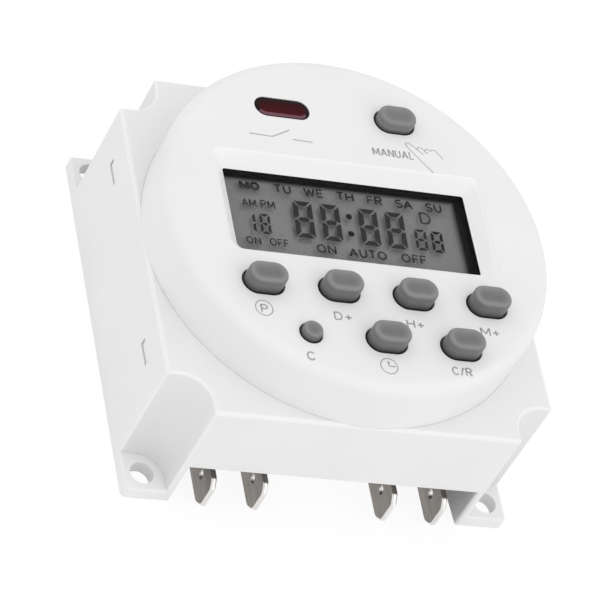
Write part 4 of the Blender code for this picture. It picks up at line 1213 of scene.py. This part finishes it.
def print_on(name, meshes, places, height, thickness, material):
    """Join printed marks into one piece that stands on a surface by the ink's thickness."""
    flat = Matrix.Diagonal((1.0, 1.0, thickness, 1.0))
    bm = bmesh.new()
    for mesh, (x, y) in zip(meshes, places):
        mesh.transform(Matrix.Translation((x, y, height + thickness / 2)) @ flat)
        bm.from_mesh(mesh)
        bpy.data.meshes.remove(mesh)
    piece = new_object(name, mesh_of(name, bm))
    return dress(piece, "case", material)


def face_print(name, meshes, place):
    """Print marks on the control face, all drawn from one place."""
    print_on(name, meshes, [place] * len(meshes), FACE_HEIGHT, INK, ink_grey)


def below(node, left, drop):
    """A place a little left of a node's middle and below it."""
    x, y = centre_of(node)
    return (x - left, y - drop)


def key_legends():
    """Words under the keys."""
    for key, text, width, left, drop in KEY_WORDS:
        meshes = word_meshes(text, width * MM, LEGEND_HEIGHT, LEGEND_LINE)
        face_print("legend_" + key, meshes, below("key_" + key, left * MM, drop * MM))


def ring_mesh(name):
    """A circle round a sign."""
    return stroke_mesh(name, circle((0.0, 0.0), (SYMBOL_DIAMETER - SYMBOL_LINE) / 2), SYMBOL_LINE, True)


def clock_symbol():
    """A dial with two hands under the clock key."""
    hands = stroke_mesh("hands", [(0.0, UPRIGHT_HAND), (0.0, 0.0), (LEVEL_HAND, 0.0)], LEGEND_LINE)
    face_print("legend_clock", [ring_mesh("dial"), hands], below("key_clock", CLOCK_LEFT, CLOCK_DROP))


def program_ring():
    """The ring round the letter of the program key."""
    face_print("legend_program_ring", [ring_mesh("ring")], below("key_program", RING_LEFT, RING_DROP))


def line_sign(name, node, lines, width):
    """A sign of thin lines, drawn from the middle of a node."""
    meshes = [stroke_mesh(name, [(x * MM, y * MM) for x, y in line], width) for line in lines]
    face_print(name, meshes, centre_of(node))


# Display

# Words, in millimetres: piece, height, line, and each word's text, middle x, middle y and width
DISPLAY_WORDS = (
    ("display_weekdays", 1.6, DISPLAY_LINE, (
        ("TU", -9.48, 6.95, 2.7), ("WE", -4.6, 6.95, 3.1), ("TH", 0.38, 6.95, 2.75),
        ("FR", 5.07, 6.88, 2.5), ("SA", 9.74, 6.82, 2.8), ("SU", 14.53, 6.78, 2.65))),
    ("display_today", 1.6, BOLD_LINE, (("MO", -14.63, 6.92, 3.2),)),
    ("display_half_day", 1.45, SMALL_LINE, (("AM", -15.24, 3.72, 2.25), ("PM", -12.32, 3.77, 2.25))),
    ("display_on_off", 1.35, SMALL_LINE, (("ON", -15.66, -3.08, 2.3), ("OFF", -11.68, -2.98, 3.0))),
    ("display_states", 1.6, DISPLAY_LINE, (
        ("ON", -4.38, -3.2, 3.1), ("AUTO", 2.12, -3.28, 6.0), ("OFF", 9.45, -3.2, 4.1))),
    ("display_day_mark", 2.2, DISPLAY_LINE, (("D", 12.77, 4.62, 1.8),)),
)

# Digits, in millimetres: piece, ink, width, height, bar, gap between bars, and each one's bars and middle
ALL_BARS = "abcdefg"
SMALL_DIGIT = (1.85, 3.8, 0.44, 0.24)
DISPLAY_DIGITS = (
    ("display_time", ink_dark, (2.95, 6.6, 0.76, 0.3), (
        (ALL_BARS, -6.98, 1.77), (ALL_BARS, -2.71, 1.77), (ALL_BARS, 3.29, 1.72), (ALL_BARS, 7.54, 1.69))),
    ("display_program", ink_dark, (1.6, 3.6, 0.42, 0.22), (("bc", -15.6, 0.15), (ALL_BARS, -13.28, 0.15))),
    ("display_seconds", ink_dark, SMALL_DIGIT, ((ALL_BARS, 11.32, 0.49),)),
    ("display_last", ink_black, SMALL_DIGIT, ((ALL_BARS, 13.92, 0.42),)),
)
DIGIT_LEAN = 0.05
COLON_DOTS = ((0.33, 3.27), (0.12, 0.15))


def digit_loops(width, height, bar, gap, bars):
    """Outlines of the lit bars of a seven-bar digit, round the origin."""
    x = width / 2
    y = height / 2
    part = gap / sqrt(2)
    top = [(-x + part, y), (-x + bar + part, y - bar), (x - bar - part, y - bar), (x - part, y)]
    side = [
        (x, y - part), (x - bar, y - bar - part), (x - bar, bar / 2 + part), (x - bar / 2, part), (x, part),
    ]
    tip = x - bar / 2 - part
    middle = [
        (-tip, 0.0), (-tip + bar / 2, -bar / 2), (tip - bar / 2, -bar / 2),
        (tip, 0.0), (tip - bar / 2, bar / 2), (-tip + bar / 2, bar / 2),
    ]
    loops = {
        "a": top,
        "b": side,
        "c": [(a, -b) for a, b in side],
        "d": [(a, -b) for a, b in top],
        "e": [(-a, -b) for a, b in side],
        "f": [(-a, b) for a, b in side],
        "g": middle,
    }
    return [loops[name] for name in bars]


def mark_mesh(loops):
    """Flat shapes, one high until they are printed."""
    return prism_mesh("mark", loops, -0.5, 0.5)


def digit_mesh(size, bars):
    """A leaning digit of the given size in millimetres."""
    loops = digit_loops(*[length * MM for length in size], bars)
    leaned = [[(x + DIGIT_LEAN * y, y) for x, y in loop] for loop in loops]
    return mark_mesh(leaned)


def display_print(name, meshes, places, ink):
    """Print marks in front of the reflector, at places in millimetres."""
    shown = [(x * MM, y * MM) for x, y in places]
    print_on(name, meshes, shown, LCD_TOP + DISPLAY_LIFT, DISPLAY_INK, ink)


def display_words():
    """The words of the display."""
    for name, height, line, words in DISPLAY_WORDS:
        meshes = []
        places = []
        for text, x, y, width in words:
            strokes = word_meshes(text, width * MM, height * MM, line)
            meshes += strokes
            places += [(x, y)] * len(strokes)
        display_print(name, meshes, places, ink_soft)


def display_digits():
    """The lit digits: the time, the program number at the left and two small digits at the right."""
    for name, ink, size, digits in DISPLAY_DIGITS:
        meshes = [digit_mesh(size, bars) for bars, x, y in digits]
        display_print(name, meshes, [(x, y) for bars, x, y in digits], ink)


def display_colon():
    """The two dots between the hours and the minutes."""
    loop = circle((0.0, 0.0), DOT_RADIUS, SMALL_STEPS)
    display_print("display_colon", [mark_mesh([loop]) for dot in COLON_DOTS], COLON_DOTS, ink_black)


def display_glass():
    """The display: a tray whose reflector lies behind the print, so that the print casts a shadow on it."""
    low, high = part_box("lcd_panel")
    levels = [(0.0, low.z), (0.0, high.z), (REFLECTOR_RIM, high.z), (REFLECTOR_RIM, REFLECTOR_TOP)]
    sections = []
    for inset, height in levels:
        loop = rounded_rectangle(
            (low.x + inset, low.y + inset), (high.x - inset, high.y - inset), GLASS_CORNER - inset)
        sections.append(at(loop, height))
    piece = lofted("display_glass", sections)
    dress(piece, "case", glass)
    behind = (REFLECTOR_TOP + LCD_TOP) / 2
    share_out(piece, [black], lambda face: 0 if face.normal.z > SQUARE_ON and face.center.z < behind else 1)
    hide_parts("lcd_panel")


def display_mask():
    """The black border at the right end and the top of the display, on its reflector; its soft fade is
    painted shade.
    """
    low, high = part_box("lcd_panel")
    corner = (WINDOW_WIDTH / 2 - MASK_INSIDE, WINDOW_TOP + MASK_ABOVE)
    inner = (corner[0] - MASK_FADE, corner[1] - MASK_FADE)
    inset = REFLECTOR_RIM + MASK_GAP
    left = low.x + inset
    right = high.x - inset
    upper = high.y - inset
    lower = low.y + inset
    loop = [(left, upper), (left, inner[1]), inner, (inner[0], lower), (right, lower), (right, upper)]
    mesh = prism_mesh("display_mask", [loop], REFLECTOR_TOP, REFLECTOR_TOP + DISPLAY_INK)
    piece = new_object("display_mask", mesh)
    print_and_painted_shade = mask_fading_in_painted_shade("mask_print_and_painted_shade", corner)
    dress(piece, "case", print_and_painted_shade)
    # Painted light: the glass and the mask are made paler near the top of the display.
    for material in (glass, print_and_painted_shade):
        painted_light_above(material, inner[1] - PAINTED_LIGHT_REACH, inner[1], PAINTED_LIGHT_GAIN)


# Nodes that keep their solid

def ease_edges(node, width):
    """Round a solid's edges, after joining its split corners and flat facets."""
    weld = node.modifiers.new("weld", "WELD")
    weld.merge_threshold = NODE_WELD
    flat = node.modifiers.new("flat", "DECIMATE")
    flat.decimate_type = "DISSOLVE"
    flat.angle_limit = radians(FACET_ANGLE)
    bevel = node.modifiers.new("ease", "BEVEL")
    bevel.width = width
    bevel.segments = 2
    bevel.limit_method = "ANGLE"
    bevel.angle_limit = radians(CREASE_ANGLE)
    bevel.harden_normals = True


def keep(names, material, ease=0.0):
    """Dress nodes that are shown as they were packed."""
    for name in names:
        node = frame["nodes"][name]
        node.data.materials.clear()
        node.data.materials.append(material)
        if ease:
            ease_edges(node, ease)


def numbered(stem, count):
    """Names that end in a number from 1 on."""
    return ["%s_%d" % (stem, index + 1) for index in range(count)]


def kept_nodes():
    """Materials of the nodes that are shown as they were packed."""
    keep(["back_cover"], white, BACK_ROUND)
    keep(["lcd_frame"], black)
    keep(["window_lens"], clear)
    keep(numbered("power_screw", 4) + numbered("display_screw", 3), steel)
    keep(["power_board", "display_board"], board)
    keep(["relay", "rectifier", "controller_chip", "smoothing_capacitor"], dark)
    keep(numbered("contact_strip", 2), dark)
    keep(["keypad_mat", "manual_mat"], mat_grey)
    keep(["varistor"], blue)
    keep(["film_capacitor"], yellow)
    keep(["status_lamp"], red)
    keep(["backup_cell", "cell_tab_plus", "cell_tab_minus", "crystal"], nickel)
    keep(["ribbon_link"], ribbon)


# Stage

CAMERA_AIM = Vector((-3.4933, -3.0796, 15.0)) * MM
CAMERA_DISTANCE = 569.415 * MM
CAMERA_AZIMUTH = -124.4198
CAMERA_ELEVATION = 45.6165
CAMERA_ROLL = 32.2154
CAMERA_LENS = 236.12
CAMERA_SENSOR = 36.0
CAMERA_NEAR = 10.0 * MM
FLOOR_SIZE = 4.0
FLOOR_GAP = 0.02 * MM
FLOOR_BOUNCE = 0.93
FLOOR_SHADOW = 0.1
FLOOR_GLOW = 0.91
WORLD_LEVEL = 0.88

# Soft lights: name, azimuth and elevation in degrees, distance and size in metres, power in watts
LIGHTS = (
    ("right_light", -52.0, 40.0, 1.2, 1.6, 2.5),
    ("left_light", 158.0, 35.0, 1.2, 1.2, 1.0),
    ("front_light", -100.0, 70.0, 1.2, 1.6, 0.9),
)


def towards(azimuth, elevation):
    """Direction from the object to a point round it, angles in degrees."""
    around = radians(azimuth)
    above = radians(elevation)
    return Vector((cos(above) * cos(around), cos(above) * sin(around), sin(above)))


def camera():
    """The camera that was fitted to the photo."""
    data = bpy.data.cameras.new("camera")
    data.lens = CAMERA_LENS
    data.sensor_width = CAMERA_SENSOR
    data.clip_start = CAMERA_NEAR
    view = new_object("camera", data)
    out = towards(CAMERA_AZIMUTH, CAMERA_ELEVATION)
    level = (-out).to_track_quat("-Z", "Y").to_matrix().to_4x4()
    roll = Matrix.Rotation(radians(CAMERA_ROLL), 4, "Z")
    view.matrix_world = Matrix.Translation(CAMERA_AIM + out * CAMERA_DISTANCE) @ level @ roll
    bpy.context.scene.camera = view


def seen_directly(tree):
    """1 for rays from the camera, in mirrors and through glass, else 0."""
    path = shader_node(tree, "LightPath", {}).outputs
    either = shader_node(tree, "Math", {0: path["Is Camera Ray"], 1: path["Is Glossy Ray"]}, "MAXIMUM")
    inputs = {0: either.outputs["Value"], 1: path["Is Transmission Ray"]}
    return shader_node(tree, "Math", inputs, "MAXIMUM").outputs["Value"]


def pale_diffuse(tree, level):
    """A matt grey surface."""
    return shader_node(tree, "BsdfDiffuse", {"Color": (level, level, level, 1.0)}).outputs["BSDF"]


def floor_material():
    """Pale floor that the camera sees as white with a faint shadow."""
    material = bpy.data.materials.new("pale_floor")
    material.use_nodes = True
    tree = material.node_tree
    tree.nodes.clear()
    glow = shader_node(tree, "Emission", {"Strength": FLOOR_GLOW}).outputs["Emission"]
    shown = shader_node(tree, "AddShader", {0: glow, 1: pale_diffuse(tree, FLOOR_SHADOW)}).outputs["Shader"]
    inputs = {"Fac": seen_directly(tree), 1: pale_diffuse(tree, FLOOR_BOUNCE), 2: shown}
    mix = shader_node(tree, "MixShader", inputs).outputs["Shader"]
    shader_node(tree, "OutputMaterial", {"Surface": mix})
    return material


def floor():
    """The floor under the object."""
    half = FLOOR_SIZE / 2
    mesh = bpy.data.meshes.new("floor")
    corners = [(-half, -half, 0.0), (half, -half, 0.0), (half, half, 0.0), (-half, half, 0.0)]
    mesh.from_pydata(corners, [], [(0, 1, 2, 3)])
    plane = new_object("floor", mesh)
    plane.location.z = -FLOOR_GAP
    mesh.materials.append(floor_material())


def world():
    """Even white light from all round."""
    sky = bpy.data.worlds.new("studio")
    bpy.context.scene.world = sky
    sky.use_nodes = True
    tree = sky.node_tree
    background = tree.nodes["Background"]
    background.inputs["Color"].default_value = (1.0, 1.0, 1.0, 1.0)
    level = spread(tree, seen_directly(tree), 0.0, 1.0, WORLD_LEVEL, 1.0)
    tree.links.new(level, background.inputs["Strength"])


def soft_light(name, azimuth, elevation, distance, size, power):
    """A square lamp that faces the object."""
    data = bpy.data.lights.new(name, "AREA")
    data.shape = "SQUARE"
    data.size = size
    data.energy = power
    lamp = new_object(name, data)
    out = towards(azimuth, elevation)
    lamp.location = out * distance
    lamp.rotation_euler = (-out).to_track_quat("-Z", "Y").to_euler()


def stage():
    """Camera, floor and light."""
    bpy.context.scene.view_settings.view_transform = "Standard"
    camera()
    floor()
    world()
    for light in LIGHTS:
        soft_light(*light)


stage()
housing()
keys()
indicator()
for number in range(1, 5):
    blade(number)
key_legends()
clock_symbol()
program_ring()
line_sign("legend_switch", "indicator_lens", SWITCH_LINES, SYMBOL_LINE)
line_sign("legend_hand", "key_manual", HAND_LINES, HAND_LINE)
display_words()
display_digits()
display_colon()
display_glass()
display_mask()
kept_nodes()
